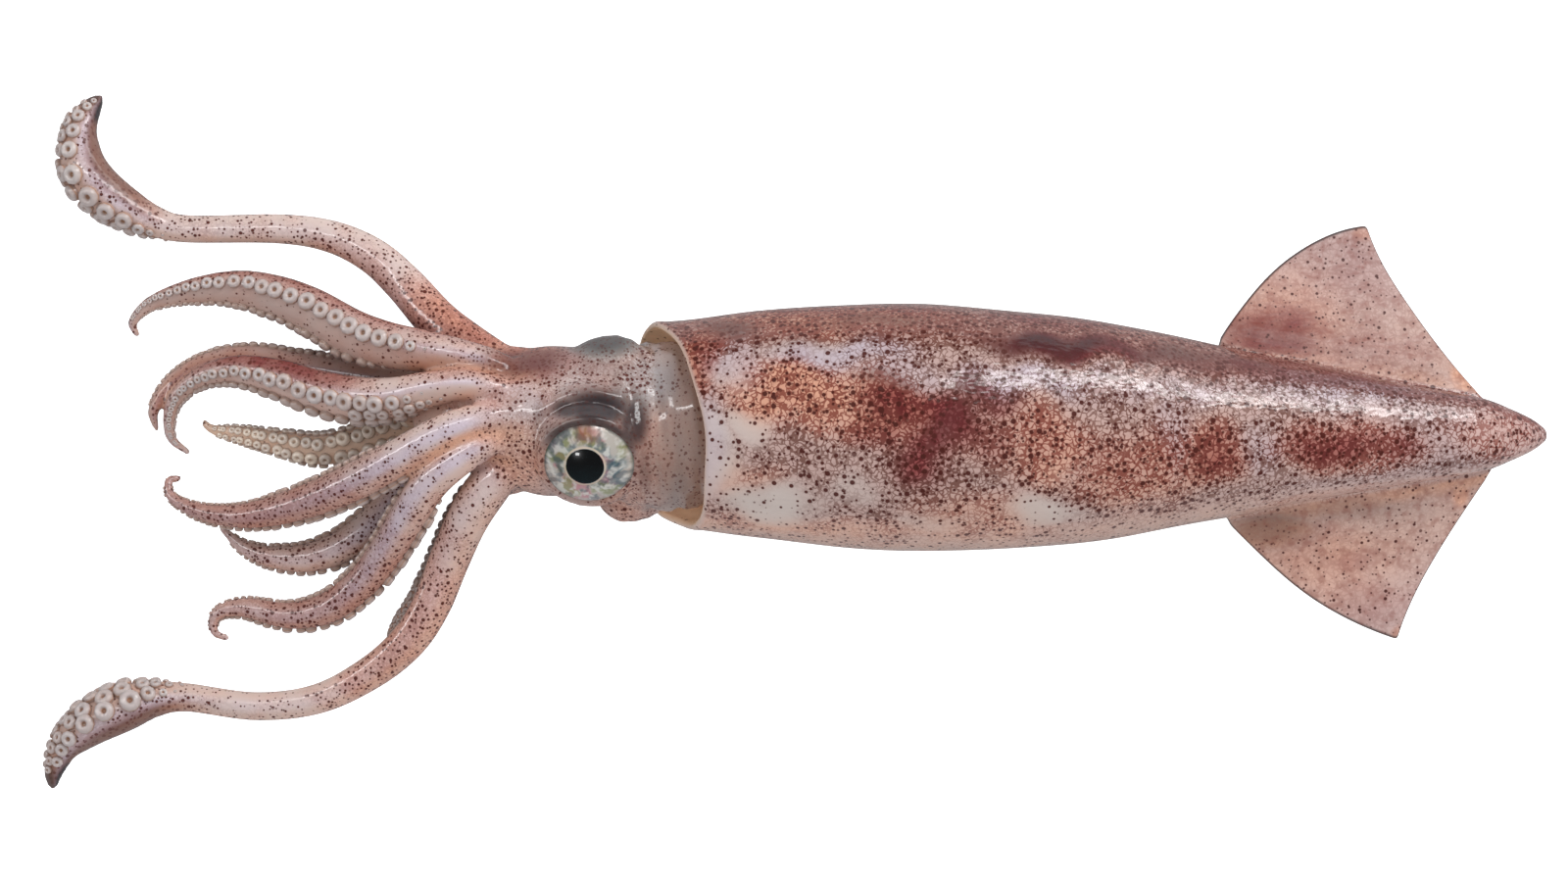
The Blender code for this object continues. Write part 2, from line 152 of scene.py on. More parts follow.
# Limbs: the oral side's turn from straight up at base and tip in degrees, then the route from
# the head to the tip as (x, y, z, radius)
LIMBS = {
    "tentacle_far": ((-180, -45), (
        (-56, 13, 17, 3.4), (-65, 17, 16, 4.4), (-73.5, 22, 14, 4.9), (-81, 27.5, 10.5, 5),
        (-89, 36, 6.4, 4.7), (-96.5, 42.5, 4.9, 4.4), (-106, 46.8, 4.1, 4), (-118, 48.5, 3.8, 3.7),
        (-139, 48.5, 3.7, 3.5), (-147, 50.4, 4.2, 4), (-153.3, 53.5, 5.2, 5.1),
        (-159.2, 57.9, 5.9, 5.8), (-162.8, 63.3, 5.5, 5.5), (-163.7, 70, 4.4, 4.3),
        (-162.2, 75, 3.2, 3.1), (-158.9, 79.4, 1.3, 0.8),
    )),
    "tentacle_near": ((180, 40), (
        (-56, 0, 20, 3.4), (-64, -4.8, 22, 4.6), (-69.5, -11, 21.4, 5), (-74, -18, 18.4, 4.8),
        (-78.3, -27, 14, 4.7), (-82.6, -37, 11, 4.6), (-88.2, -45.2, 8.2, 4.5), (-97, -52.4, 5, 4.2),
        (-109, -58.3, 4, 3.8), (-123, -60, 3.7, 3.6), (-139, -58, 3.8, 3.6), (-147, -58.5, 4.6, 4.5),
        (-154, -60.6, 5.8, 5.8), (-161.2, -64.3, 5.3, 5.2), (-166.8, -69.1, 3.9, 3.7),
        (-169.6, -75, 2.6, 2.3), (-170, -79.2, 1.2, 0.8),
    )),
    "arm_1": ((-60, -45), (
        (-55.5, 11.5, 22, 3.2), (-67, 16.5, 23.5, 4), (-76, 18.8, 22.5, 4.7), (-84, 20.2, 19.8, 5.2),
        (-92.5, 21.8, 16.4, 5.6), (-100.5, 24.5, 13.2, 5.8), (-110.5, 30, 9.2, 5.5),
        (-119.5, 33.4, 6.4, 5), (-128, 35, 4.9, 4.2), (-138, 34.3, 3.8, 3), (-147, 31.7, 2.7, 1.8),
        (-151.4, 27.6, 1.9, 1.1), (-150.4, 24.5, 1.4, 0.6),
    )),
    "arm_2": ((70, 60), (
        (-55.5, 9.5, 15, 3), (-69, 12, 12.5, 3.6), (-80, 13, 9.5, 3.8), (-91, 14.2, 6.4, 3.9),
        (-102, 15.8, 4.8, 3.9), (-114, 17.8, 4.2, 3.7), (-125, 19.5, 3.8, 3.3),
        (-134.4, 18.2, 3.3, 2.7), (-142.3, 13.8, 2.8, 2.2), (-146.8, 7.4, 2.2, 1.4),
        (-146.1, 3, 1.4, 0.6),
    )),
    "arm_3": ((-60, -50), (
        (-55.5, 7.5, 24, 3.2), (-66, 11.2, 27.4, 3.6), (-73.5, 12.6, 27.6, 3.8),
        (-82, 11.5, 25.4, 4.4), (-90.5, 9.6, 21.8, 5), (-99, 9.6, 18.2, 5.3), (-108, 11.4, 15.2, 5),
        (-117, 14.4, 12.6, 4.5), (-127, 16.2, 9.9, 3.5), (-136, 14.2, 7, 2.5), (-141.8, 8.8, 4.3, 1.9),
        (-142.7, 1.5, 2.6, 1.2), (-138.8, -2.3, 1.4, 0.6),
    )),
    "arm_4": ((-10, -10), (
        (-55.5, 5.2, 13, 3), (-69, 6, 10.5, 3.4), (-82, 5, 7.4, 3.8), (-92, 2.4, 5.2, 3.9),
        (-101, -0.4, 4.3, 3.8), (-109, -1.6, 3.9, 3.5), (-118, 0, 3.4, 2.8), (-127, 1.8, 2.7, 2),
        (-133, 2.9, 2, 1.1), (-135.4, 4.6, 1.4, 0.6),
    )),
    "arm_5": ((180, 180), (
        (-55.5, 4.3, 24, 3.2), (-64.5, 5.6, 28.8, 3.6), (-72, 4.6, 29.8, 3.8), (-80, 1.4, 28.6, 4),
        (-90, -4.2, 24.4, 4.3), (-101, -9.8, 18.2, 4.3), (-113, -14.2, 12.2, 3.8),
        (-124.5, -16.7, 8.2, 2.9), (-134.5, -16.1, 5.3, 2), (-142, -12.9, 3.3, 1.2),
        (-143.3, -9, 2.2, 0.9), (-140.9, -8.2, 1.4, 0.6),
    )),
    "arm_6": ((180, 180), (
        (-55.5, 2.5, 13, 3), (-69, 1.5, 10.5, 3.4), (-78.5, -1.8, 8, 3.8), (-86.5, -8.2, 5.9, 4),
        (-93.5, -16, 4.7, 4), (-101, -22.5, 4.2, 3.9), (-110, -26.2, 3.8, 3.4),
        (-119, -26.3, 3.2, 2.6), (-126, -24, 2.4, 1.6), (-131.2, -19.6, 1.4, 0.6),
    )),
    "arm_7": ((180, 180), (
        (-55.5, 1.6, 23, 3.2), (-63.5, 1.3, 27.4, 3.4), (-70, -0.8, 28.8, 3.7), (-76.5, -4.8, 27.6, 4),
        (-82, -9.6, 24.6, 4.2), (-87, -16.8, 19.8, 4.2), (-92.5, -25, 14, 4), (-98, -31.6, 9.8, 3.8),
        (-106, -37.6, 6.4, 3.6), (-115.5, -39.6, 4.4, 3), (-126, -37.8, 3.1, 2.2),
        (-132.2, -39.4, 2.3, 1.4), (-132.8, -43.4, 1.8, 0.9), (-129.9, -44.9, 1.4, 0.6),
    )),
    "arm_8": ((90, 90), (
        (-55.5, -0.2, 12, 3), (-64.5, -3.8, 9.5, 3.4), (-71.5, -9.4, 7, 3.6), (-77, -17.2, 5, 3.6),
        (-81.2, -26.4, 4.2, 3.4), (-86, -35.4, 3.5, 2.8), (-90.4, -41.3, 2.7, 2), (-92.4, -45, 2, 1.2),
        (-92.2, -47.6, 1.3, 0.6),
    )),
}
ORAL_FLATNESS = 0.8
LIMB_STEP = 0.7
LIMB_SIDES = 22
THINNEST_SHELL = 0.95
SKIN_GRAIN = 0.645

# Rows of suckers on each limb: (turn from the middle of the oral side in degrees, first and last
# share of the limb's length, diameter as a share of the limb's radius, start in sucker spacings,
# how brown they are, or below nought how creamy and lightened, partly as painted light)
SUCKER_ROWS = {
    "tentacle_far": (
        (42, 0.70, 0.985, 0.82, 0, 0.1), (5, 0.69, 0.98, 0.66, 0.5, 0.3),
        (-28, 0.71, 0.95, 0.5, 0, 0.5),
    ),
    "tentacle_near": (
        (-52, 0.745, 0.95, 0.86, 0, 0.1), (-17, 0.73, 0.975, 0.74, 0.45, 0.3),
        (14, 0.74, 0.97, 0.66, 0.1, 0.4), (44, 0.75, 0.93, 0.5, 0.5, 0.6),
    ),
    "arm_1": ((64, 0.25, 0.97, 0.74, 0, 0.25), (-24, 0.34, 0.95, 0.5, 0.5, 0.9)),
    "arm_2": ((18, 0.2, 0.95, 0.6, 0, 0.9), (58, 0.2, 0.95, 0.56, 0.5, 0.8)),
    "arm_3": (
        (44, 0.26, 0.97, 0.76, 0, 0.25), (-20, 0.26, 0.95, 0.66, 0.5, 0.7),
        (10, 0.22, 0.42, 0.62, 0.3, 0.3),
    ),
    "arm_4": (
        (-80, 0.2, 0.95, 0.62, 0, -0.5), (-27, 0.2, 0.95, 0.84, 0.5, -0.8),
        (27, 0.2, 0.96, 0.84, 0, -0.8), (80, 0.2, 0.95, 0.62, 0.5, -0.5),
    ),
    "arm_5": (
        (-84, 0.36, 0.96, 0.56, 0, 0.7), (84, 0.24, 0.96, 0.7, 0.5, 0.5),
        (52, 0.24, 0.6, 0.66, 0, 0.5),
    ),
    "arm_6": ((-82, 0.24, 0.96, 0.66, 0, 0.6), (84, 0.24, 0.96, 0.66, 0.5, 0.5)),
    "arm_7": (
        (-82, 0.3, 0.96, 0.6, 0, 0.7), (84, 0.3, 0.96, 0.76, 0.5, 0.5), (52, 0.3, 0.7, 0.66, 0, 0.5),
    ),
    "arm_8": (
        (-84, 0.24, 0.95, 0.66, 0, 0.6), (-44, 0.24, 0.95, 0.6, 0.5, 0.6),
        (40, 0.24, 0.95, 0.6, 0, 0.6),
    ),
}
SUCKER_PITCH = 1.0
SMALLEST_SUCKER = 0.75
# How far a sucker rises from the skin, as a share of its width
SUCKER_LIFT = 0.12
# Widest gap from a limb's own shape to the skin, and least agreement of the two ways they face
SEAT_GAP = 1.1
SEAT_FACING = 0.3
SUCKER_SEED = 7


# --- numbers -------------------------------------------------------------------------------


def rise(value, low, high):
    """A smooth rise from 0 at low to 1 at high."""
    t = np.clip((value - low) / (high - low), 0.0, 1.0)
    return t * t * (3.0 - 2.0 * t)


def mix(a, b, share):
    """The value a turned into b by a share."""
    return a + (b - a) * share


def unit(vectors):
    """Vectors at length 1."""
    length = np.linalg.norm(vectors, axis=-1, keepdims=True)
    return vectors / np.maximum(length, 1e-9)


def smooth_route(points, steps):
    """Points of any size, joined by a smooth curve with extra stations between them."""
    points = np.array(points, float)
    padded = np.vstack([points[:1], points, points[-1:]])
    t = np.arange(steps)[:, None] / steps
    route = []
    for k in range(1, len(padded) - 2):
        before, a, b, after = padded[k - 1:k + 3]
        route.append(0.5 * (
            2.0 * a + (b - before) * t + (2.0 * before - 5.0 * a + 4.0 * b - after) * t ** 2
            + (3.0 * a - before - 3.0 * b + after) * t ** 3
        ))
    route.append(points[-1:])
    return np.vstack(route)


def unevenness(points, reach, seed):
    """A soft random field of about -1 to 1 whose hills are about reach millimetres apart."""
    rng = np.random.default_rng(seed)
    total = np.zeros(len(points))
    for _ in range(14):
        direction = unit(rng.normal(size=3))
        pitch = reach * rng.uniform(0.7, 1.5)
        total += np.sin(points @ direction * (2.0 * math.pi / pitch) + rng.uniform(0.0, 6.28))
    return total / 3.7


def patch(a, b, mark):
    """How strongly one soft patch (middle, half sizes, strength) shows at places (a, b)."""
    middle_a, middle_b, half_a, half_b, strength = mark
    away = np.hypot((a - middle_a) / half_a, (b - middle_b) / half_b)
    return strength * (1.0 - rise(away, 0.35, 1.35))


def patches(a, b, marks):
    """The strongest of several soft patches at places (a, b)."""
    shown = np.zeros(len(a))
    for mark in marks:
        shown = np.maximum(shown, patch(a, b, mark))
    return shown


# --- meshes --------------------------------------------------------------------------------


def in_scene(name, data):
    """A new object in the scene for a mesh, a light or a camera."""
    obj = bpy.data.objects.new(name, data)
    bpy.context.collection.objects.link(obj)
    return obj


def closed_mesh(name, points, faces):
    """A mesh whose faces all point out."""
    mesh = bpy.data.meshes.new(name)
    mesh.from_pydata(points.tolist(), [], faces)
    bm = bmesh.new()
    bm.from_mesh(mesh)
    bmesh.ops.recalc_face_normals(bm, faces=bm.faces)
    bm.to_mesh(mesh)
    bm.free()
    return mesh


def paint(mesh, tints):
    """Tints by name, each with a value for every point of a mesh."""
    for tint, values in tints.items():
        layer = mesh.attributes.new(tint, "FLOAT", "POINT")
        layer.data.foreach_set("value", np.asarray(values, np.float32))


def make_piece(name, points, faces, tints):
    """A smooth object from points in millimetres, with tints on its points."""
    mesh = closed_mesh(name, points * MM, faces)
    mesh.shade_smooth()
    paint(mesh, tints)
    return in_scene(name, mesh)


def held(tints):
    """Tints kept between 0 and 1."""
    return {tint: np.clip(values, 0.0, 1.0) for tint, values in tints.items()}


def closed_tube(rings, start, end):
    """Points and faces of a tube of equal rings that a point closes at each end."""
    sides = len(rings[0])
    points = np.vstack([np.concatenate(rings), [start], [end]])
    last = (len(rings) - 1) * sides
    faces = []
    for low in range(0, last, sides):
        for i in range(sides):
            j = (i + 1) % sides
            faces.append((low + i, low + j, low + sides + j, low + sides + i))
    for i in range(sides):
        j = (i + 1) % sides
        faces.append((last + sides, j, i))
        faces.append((last + sides + 1, last + i, last + j))
    return points, faces


# --- mantle and fins -----------------------------------------------------------------------


MANTLE_OUTLINE = smooth_route(MANTLE_PROFILE, 24)


def half_width(x):
    """Half width of the mantle at x."""
    return np.interp(x, MANTLE_OUTLINE[:, 0], MANTLE_OUTLINE[:, 1])


def half_height(x):
    """Half height of the mantle, which is flatter in front than at its tail."""
    return half_width(x) * mix(FLATTENING_FRONT, FLATTENING_TAIL, rise(x, COLLAR_X, TAIL_X))


def mantle_axis(x):
    """Side and height of the mantle's middle line."""
    share = np.clip((TAIL_X - x) / (TAIL_X - COLLAR_X), 0.0, 1.0)
    side = mix(AXIS_SIDE_TAIL, AXIS_SIDE_COLLAR, share ** 1.5)
    height = half_height(x) - BELLY_FLAT + TAIL_LIFT * rise(x, TAIL_LIFT_START, TAIL_X)
    return side, height


def mantle_points(x, angle, inset=0.0):
    """Points on the mantle, inset from its skin, at angles from straight up towards +Y."""
    x, angle = np.broadcast_arrays(np.asarray(x, float), angle)
    side, height = mantle_axis(x)
    y = side + (half_width(x) - inset) * np.sin(angle)
    z = height + (half_height(x) - inset) * np.cos(angle)
    return np.stack([x, y, np.maximum(z, LOWEST)], axis=-1)


def collar_x(x, angle):
    """The station x moved by the rake of the collar, which fades out towards the tail."""
    rake = COLLAR_RAKE_UP * np.cos(angle) + COLLAR_RAKE_SIDE * np.sin(angle)
    wave = RIM_WAVE * (np.sin(3.0 * angle + 0.7) + 0.6 * np.sin(7.0 * angle + 2.1))
    turn, half, reach = RIM_LIP
    from_lip = (np.degrees(angle) - turn + 180.0) % 360.0 - 180.0
    lip = -reach * np.exp(-(from_lip / half) ** 2) * (1.0 - rise(x, COLLAR_X, COLLAR_X + LIP_FADE))
    return x + (rake + wave) * (1.0 - rise(x, COLLAR_X, COLLAR_X + RAKE_FADE)) + lip


def fin_edge(corners):
    """The outline of a fin from the front of its root to the end: (share of the root, x, y)."""
    front, lead, tip, trail, back = np.array(corners)
    share = np.linspace(0.0, 1.0, FIN_EDGE_POINTS)
    t = np.clip(share / FIN_TIP_SHARE, 0.0, 1.0)[:, None]
    u = np.clip((share - FIN_TIP_SHARE) / (1.0 - FIN_TIP_SHARE), 0.0, 1.0)[:, None]
    leading = front * (1.0 - t) ** 2 + lead * 2.0 * t * (1.0 - t) + tip * t ** 2
    trailing = tip * (1.0 - u) ** 2 + trail * 2.0 * u * (1.0 - u) + back * u ** 2
    edge = np.where(share[:, None] < FIN_TIP_SHARE, leading, trailing)
    more = FIN_TIP_ROUND // 2
    padded = np.vstack([np.repeat(edge[:1], more, 0), edge, np.repeat(edge[-1:], more, 0)])
    even = np.ones(FIN_TIP_ROUND) / FIN_TIP_ROUND
    return share, *[np.convolve(column, even, "valid") for column in padded.T]


# Edge and root of the fin on each side: 1 is far, -1 is near
FIN_EDGES = {1.0: fin_edge(FIN_FAR), -1.0: fin_edge(FIN_NEAR)}
FIN_ROOTS = {1.0: (FIN_FAR[0][0], FIN_FAR[4][0]), -1.0: (FIN_NEAR[0][0], FIN_NEAR[4][0])}


def ring_layout(x):
    """Angles of one ring, and for its fin points the side, the face and the share of the reach.

    The ring runs from the ridge over the far fin, the belly and the near fin back to the ridge.
    """
    spread = 1.0 - rise(x, *FIN_ROOT_CLOSES)
    upper = math.radians(mix(*FIN_ROOT_UPPER, spread))
    lower = math.radians(mix(*FIN_ROOT_LOWER, spread))
    full = 2.0 * math.pi
    stretches = (
        (0.0, upper, BACK_POINTS), (upper, lower, 2 * FIN_POINTS), (lower, full - lower, BELLY_POINTS),
        (full - lower, full - upper, 2 * FIN_POINTS), (full - upper, full, BACK_POINTS),
    )
    angles = np.concatenate([np.linspace(a, b, n, endpoint=False) for a, b, n in stretches])
    step = np.arange(2 * FIN_POINTS)
    share = 1.0 - (1.0 - np.minimum(step, 2 * FIN_POINTS - step) / FIN_POINTS) ** 1.5
    face = np.where(step <= FIN_POINTS, 1.0, -1.0)
    return angles, share, face, upper, lower


def fin_points(x, side, share, face, upper, lower):
    """Points across both faces of one fin for the ring at x, and how far it reaches."""
    start, end = FIN_ROOTS[side]
    along, edge_x, edge_y = FIN_EDGES[side]
    t = np.clip((x - start) / (end - start), 0.0, 1.0)
    edge = np.array([np.interp(t, along, edge_x), np.interp(t, along, edge_y)])
    top = mantle_points(x, side * upper)
    bottom = mantle_points(x, side * lower)
    reach = max((edge[1] - top[1]) * side, 0.0) if start < x < end else 0.0
    if reach == 0.0:
        return None, 0.0
    root = np.where(face[:, None] > 0.0, top, bottom)
    points = np.empty((len(share), 3))
    points[:, :2] = mix(root[:, :2], edge, share[:, None])
    root_z = 0.5 * (top[2] + bottom[2])
    out = share * reach
    fold = FIN_FOLD * np.exp(-((out - FIN_FOLD_AT) / FIN_FOLD_WIDE) ** 2) * rise(reach, 6.0, 16.0)
    droop = (1.0 - np.minimum(out / FIN_DROOP_REACH, 1.0)) ** FIN_DROOP_POWER
    middle = FIN_EDGE_Z + (root_z - FIN_EDGE_Z) * droop + fold
    half_root = 0.5 * (top[2] - bottom[2])
    half = mix(half_root, mix(FIN_THICK, FIN_EDGE_THICK, share), rise(out, 0.0, 4.0))
    rim = np.clip((1.0 - share) * reach / FIN_EDGE_ROUND, 0.0, 1.0)
    points[:, 2] = middle + face * half * np.sqrt(rim * (2.0 - rim))
    return points, reach


def mantle_stations():
    """Places of the rings along the outside of the mantle, closer together where fins are."""
    return np.concatenate([
        np.arange(-26.6, -20.0, 0.5), np.arange(-20.0, 88.0, 0.95), np.arange(88.0, 162.0, 0.56),
        np.arange(162.0, 171.0, 0.42), np.arange(171.0, 171.95, 0.16),
    ])


def build_mantle_skin():
    """The mantle as rings: pocket, rolled rim and the outside with both fins, then its tints."""
    rings, notes = [], []
    angles = ring_layout(COLLAR_X)[0]
    blank = np.zeros(len(angles))
    no_fin = blank + NO_EDGE

    def add_ring(points, inner, out, left):
        rings.append(points)
        notes.append(np.stack([blank + inner, out, left, angles], axis=1))

    add_ring(mantle_points(POCKET_X, angles, POCKET_FLOOR_INSET), 1.0, blank, no_fin)
    for depth in np.linspace(1.0, 0.0, 16):
        x = collar_x(COLLAR_X, angles)
        inset = WALL + POCKET_NARROWS * rise(depth, 0.0, 0.4)
        add_ring(mantle_points(mix(x, POCKET_X, depth), angles, inset), 1.0, blank, no_fin)
    for turn in np.radians(np.linspace(70.0, -70.0, 7)):
        x = collar_x(COLLAR_X, angles) + 0.2 - 1.0 * math.cos(turn)
        inset = 0.5 * WALL * (1.0 + math.sin(turn)) - RIM_SWELL * (1.0 - math.sin(turn)) * 0.5
        add_ring(mantle_points(x, angles, inset), 0.5 + 0.5 * math.sin(turn), blank, no_fin)
    for station in mantle_stations():
        angles, share, face, upper, lower = ring_layout(station)
        swell = RIM_SWELL * math.exp(-((station - COLLAR_X) / 1.6) ** 2)
        points = mantle_points(collar_x(station, angles), angles, -swell)
        out, left = blank.copy(), no_fin.copy()
        for side, first in ((1.0, BACK_POINTS), (-1.0, BACK_POINTS + 2 * FIN_POINTS + BELLY_POINTS)):
            fin, reach = fin_points(station, side, share, side * face, upper, lower)
            if reach > 0.0:
                place = slice(first, first + 2 * FIN_POINTS)
                points[place] = mix(points[place], fin, rise(reach, 0.0, 2.5))
                out[place] = share * reach
                left[place] = (1.0 - share) * reach
        add_ring(points, 0.0, out, left)
    ends = [(x, *mantle_axis(x)) for x in (POCKET_X, TAIL_X)]
    points, faces = closed_tube(rings, *ends)
    note = np.vstack([np.concatenate(notes), [[1.0, 0.0, NO_EDGE, 0.0], [0.0, 0.0, NO_EDGE, 0.0]]])
    inner, out, left, angle = note.T
    loose = SKIN_UNEVENNESS * (1.0 - 0.6 * rise(points[:, 0], 90.0, 160.0))
    middle = np.stack([points[:, 0], *mantle_axis(points[:, 0])], axis=1)
    points += unit(points - middle) * (loose * unevenness(points, 26.0, 3) * (inner < 0.9))[:, None]
    wave = 0.35 * rise(out, 6.0, 30.0) * unevenness(points * (1.0, 1.0, 0.0), 22.0, 5)
    points[:, 2] = np.maximum(points[:, 2] + wave, LOWEST)
    tints = mantle_tints(points, inner, out, left, angle)
    return make_piece("mantle_skin", points, faces, tints)


# Soft patches on the mantle: (x, distance round from the ridge, half length, half width, strength)
MANTLE_FLUSH = (
    (32, 0.5, 12.5, 9.5, 1), (24, 4.5, 12, 6.5, 0.9), (3, 8, 15, 7, 0.25), (43, 7, 9, 5, 0.75),
    (28.5, -8, 9, 7, 0.8), (52, -2, 14, 7, 0.22), (93.5, -5.5, 7.4, 7, 0.72),
    (121, -2.8, 14.5, 5.2, 0.8), (133, -2.6, 9, 4.4, 0.6), (-20.5, 15, 4.5, 9, 0.5),
    (75, -8, 14, 9, 0.25), (62, 20.5, 19, 4.8, 1), (105, 17, 34, 6, 0.34), (60, 34, 22, 7, 0.35),
    (14, 36, 26, 6, 0.25), (18, -1, 10, 6, 0.55),
)
MANTLE_WARM = (
    (1, 8, 17, 9, 1), (17, 4, 12, 9, 0.8), (-20.5, 15.5, 5, 9.5, 1), (55, -4, 16, 10, 0.6),
    (76, -10, 15, 11, 0.55), (92, -5.5, 9, 8, 0.8), (124, -3, 18, 7, 0.7), (6, 30, 30, 7, 0.6),
    (40, -22, 18, 7, 0.45), (-13, -13, 8, 6, 0.5), (160, 0, 14, 8, 0.5), (12, -27, 40, 4, 0.35),
)
# Lilac skin tone and painted sheen; the patches along the upper side follow the band where the lights reflect
MANTLE_COOL = (
    (9, 17, 17, 4.2, 0.8), (-14, 15, 7, 7, 0.5), (52, 11, 22, 4, 0.8), (84, 9, 18, 4, 0.5),
    (24, 13, 8, 4, 0.5), (-18, -5, 5, 13, 0.5), (84, -1, 5, 9, 0.35), (104, -4, 4.5, 7, 0.4),
    (121, 11.5, 26, 5, 0.6),
)
# Dark patches of pigment, mostly on the back and tail
MANTLE_SHADE = (
    (58, 20.5, 16, 4.4, 0.7), (82, 21, 16, 3.4, 0.45), (33, 1, 7.5, 5.5, 0.4),
    (20, 10.5, 5, 2.4, 0.35), (40, 8.5, 6.5, 2.6, 0.4), (96, 19, 20, 4, 0.25), (130, 15, 22, 4, 0.15),
    (20, 28, 14, 3.4, 0.35), (-16, 25, 8, 4, 0.45),
)
MANTLE_PALE = (
    (-17, -8, 7, 10, 1), (-4, -21, 13, 8, 1), (54, -20, 9.5, 5, 0.95), (30, -25, 12, 4.5, 0.5),
    (11, -15.5, 6.5, 4, 0.5), (-8, 0, 6, 4, 0.8), (-16, 12, 6, 4, 0.5), (4, 18.5, 13, 4, 0.5),
)
# Large single dots: (x, distance round from the ridge, radius)
MANTLE_SPOTS = (
    (12.7, -12.8, 0.62), (10.6, -16.6, 0.55), (35.6, -20, 0.55), (15.4, 17, 0.55), (24.9, -11.5, 0.5),
    (43.5, -13.5, 0.5),
)
# Soft patches on the fins: (x, y, half length, half width, strength)
FIN_FLUSH = (
    (109, 25, 14, 8, 0.8), (129, -27, 6, 3, 0.4), (118, -24, 16, 6, 0.2), (128, 20, 22, 6, 0.3),
    (122, 36, 16, 12, 0.2), (133, -36, 8, 6, 0.25),
)
FIN_WARM = (
    (151.5, 14, 2.2, 3.6, 1), (151, -12, 2.6, 2.6, 1), (108, -20.5, 9, 4, 0.9),
    (112, 30, 14, 12, 0.35), (122, -30, 18, 12, 0.35), (130.5, 48, 2.5, 1.8, 0.8), (138, -44, 2, 2, 1),
)
# Darker fins near their roots: partly their own tone, partly painted shade at the near fin's groove
FIN_SHADE = (
    (107, -19.5, 11, 5, 0.5), (126, -15.5, 20, 3, 0.22), (108, 24, 11, 5, 0.14),
)


def mantle_tints(points, inner, out, left, angle):
    """Tints of the mantle's skin from where each point lies on it."""
    turn = (angle + math.pi) % (2.0 * math.pi) - math.pi
    loose = 1.0 - 0.5 * rise(points[:, 0], 70.0, 110.0)
    arc = turn * half_width(points[:, 0]) + 1.5 * loose * unevenness(points, 16.0, 42)
    x = points[:, 0] + 2.4 * loose * unevenness(points, 18.0, 41)
    y = points[:, 1]
    degrees = np.degrees(turn)
    body = 1.0 - rise(out, 0.3, 1.5)
    fin = 1.0 - body
    back = rise(degrees, 36.0, 54.0) * (1.0 - rise(degrees, 88.0, 112.0)) * body
    flank = rise(-degrees, 44.0, 70.0) * body
    under = rise(np.abs(degrees), 98.0, 125.0) * body
    mottle = unevenness(points, 9.0, 11)
    tail = rise(x, 92.0, 150.0)
    # Root grooves of the fins: a warm brown tone, and on the near fin painted shade in the groove
    groove = (1.0 - rise(out, 1.5, 6.5)) * rise(x, 96.0, 112.0) * (out > 0.05)
    rim = 1.0 - rise(points[:, 0] - collar_x(COLLAR_X, angle), -1.0, 0.4)
    flush = patches(x, arc, MANTLE_FLUSH) * body + 0.36 * back
    flush = np.maximum(flush, patches(x, y, FIN_FLUSH) * fin) * (1.0 - 0.7 * under)
    warm = patches(x, arc, MANTLE_WARM) * body + 0.6 * flank + 0.25 * back
    warm = np.maximum(warm, patches(x, y, FIN_WARM) * fin + 0.26 * fin)
    warm = np.maximum(warm, 0.85 * groove * np.where(y > 0.0, 0.7, 1.0))
    # Lilac skin tone and painted sheen, also on the fins' outer parts and the tail
    cool = patches(x, arc, MANTLE_COOL) * body + 0.25 * fin * rise(out, 10.0, 30.0) + 0.3 * tail * body
    shade = patches(x, arc, MANTLE_SHADE) * body + 0.2 * back + patches(x, y, FIN_SHADE) * fin
    shade = np.maximum(shade, 0.8 * (1.0 - rise(left, 0.25, 0.9)))
    # Painted shade: the far fin darker all over, the near fin's root groove darker, and a little on the near
    # flank
    shade += np.where(y > 0.0, 0.1 * fin, 0.16 * groove) + 0.05 * flank
    pale = np.maximum(patches(x, arc, MANTLE_PALE) * body, 0.45 * flank)
    pale = np.maximum(pale, np.maximum(0.9 * under, np.where(y > 0.0, 0.05, 0.3) * fin))
    warm = warm * (1.0 - 0.65 * pale * body)
    dots = 0.64 + 0.07 * mottle + 0.3 * back + 0.4 * flush - 0.42 * pale
    dots = np.where(fin > 0.5, 0.78 + 0.3 * flush + 0.14 * mottle, dots)
    outer = 1.0 - inner
    keep = outer * (1.0 - rim)
    return held({
        "flush": (flush + 0.06 * mottle) * keep + 0.12 * rim * outer,
        "warm": warm * keep,
        "cool": cool * outer + 0.1 * rim * outer,
        "shade": shade * keep,
        "pale": pale * keep + 0.7 * rim,
        "dots": dots * keep + 0.1 * rim,
        "dry": 0.75 * fin,
        "glass": 0.1 * np.maximum(pale * body, under),
        # Inside the collar: the lightened lining colour with its painted glow
        "lining": inner,
    })


# --- limbs ---------------------------------------------------------------------------------


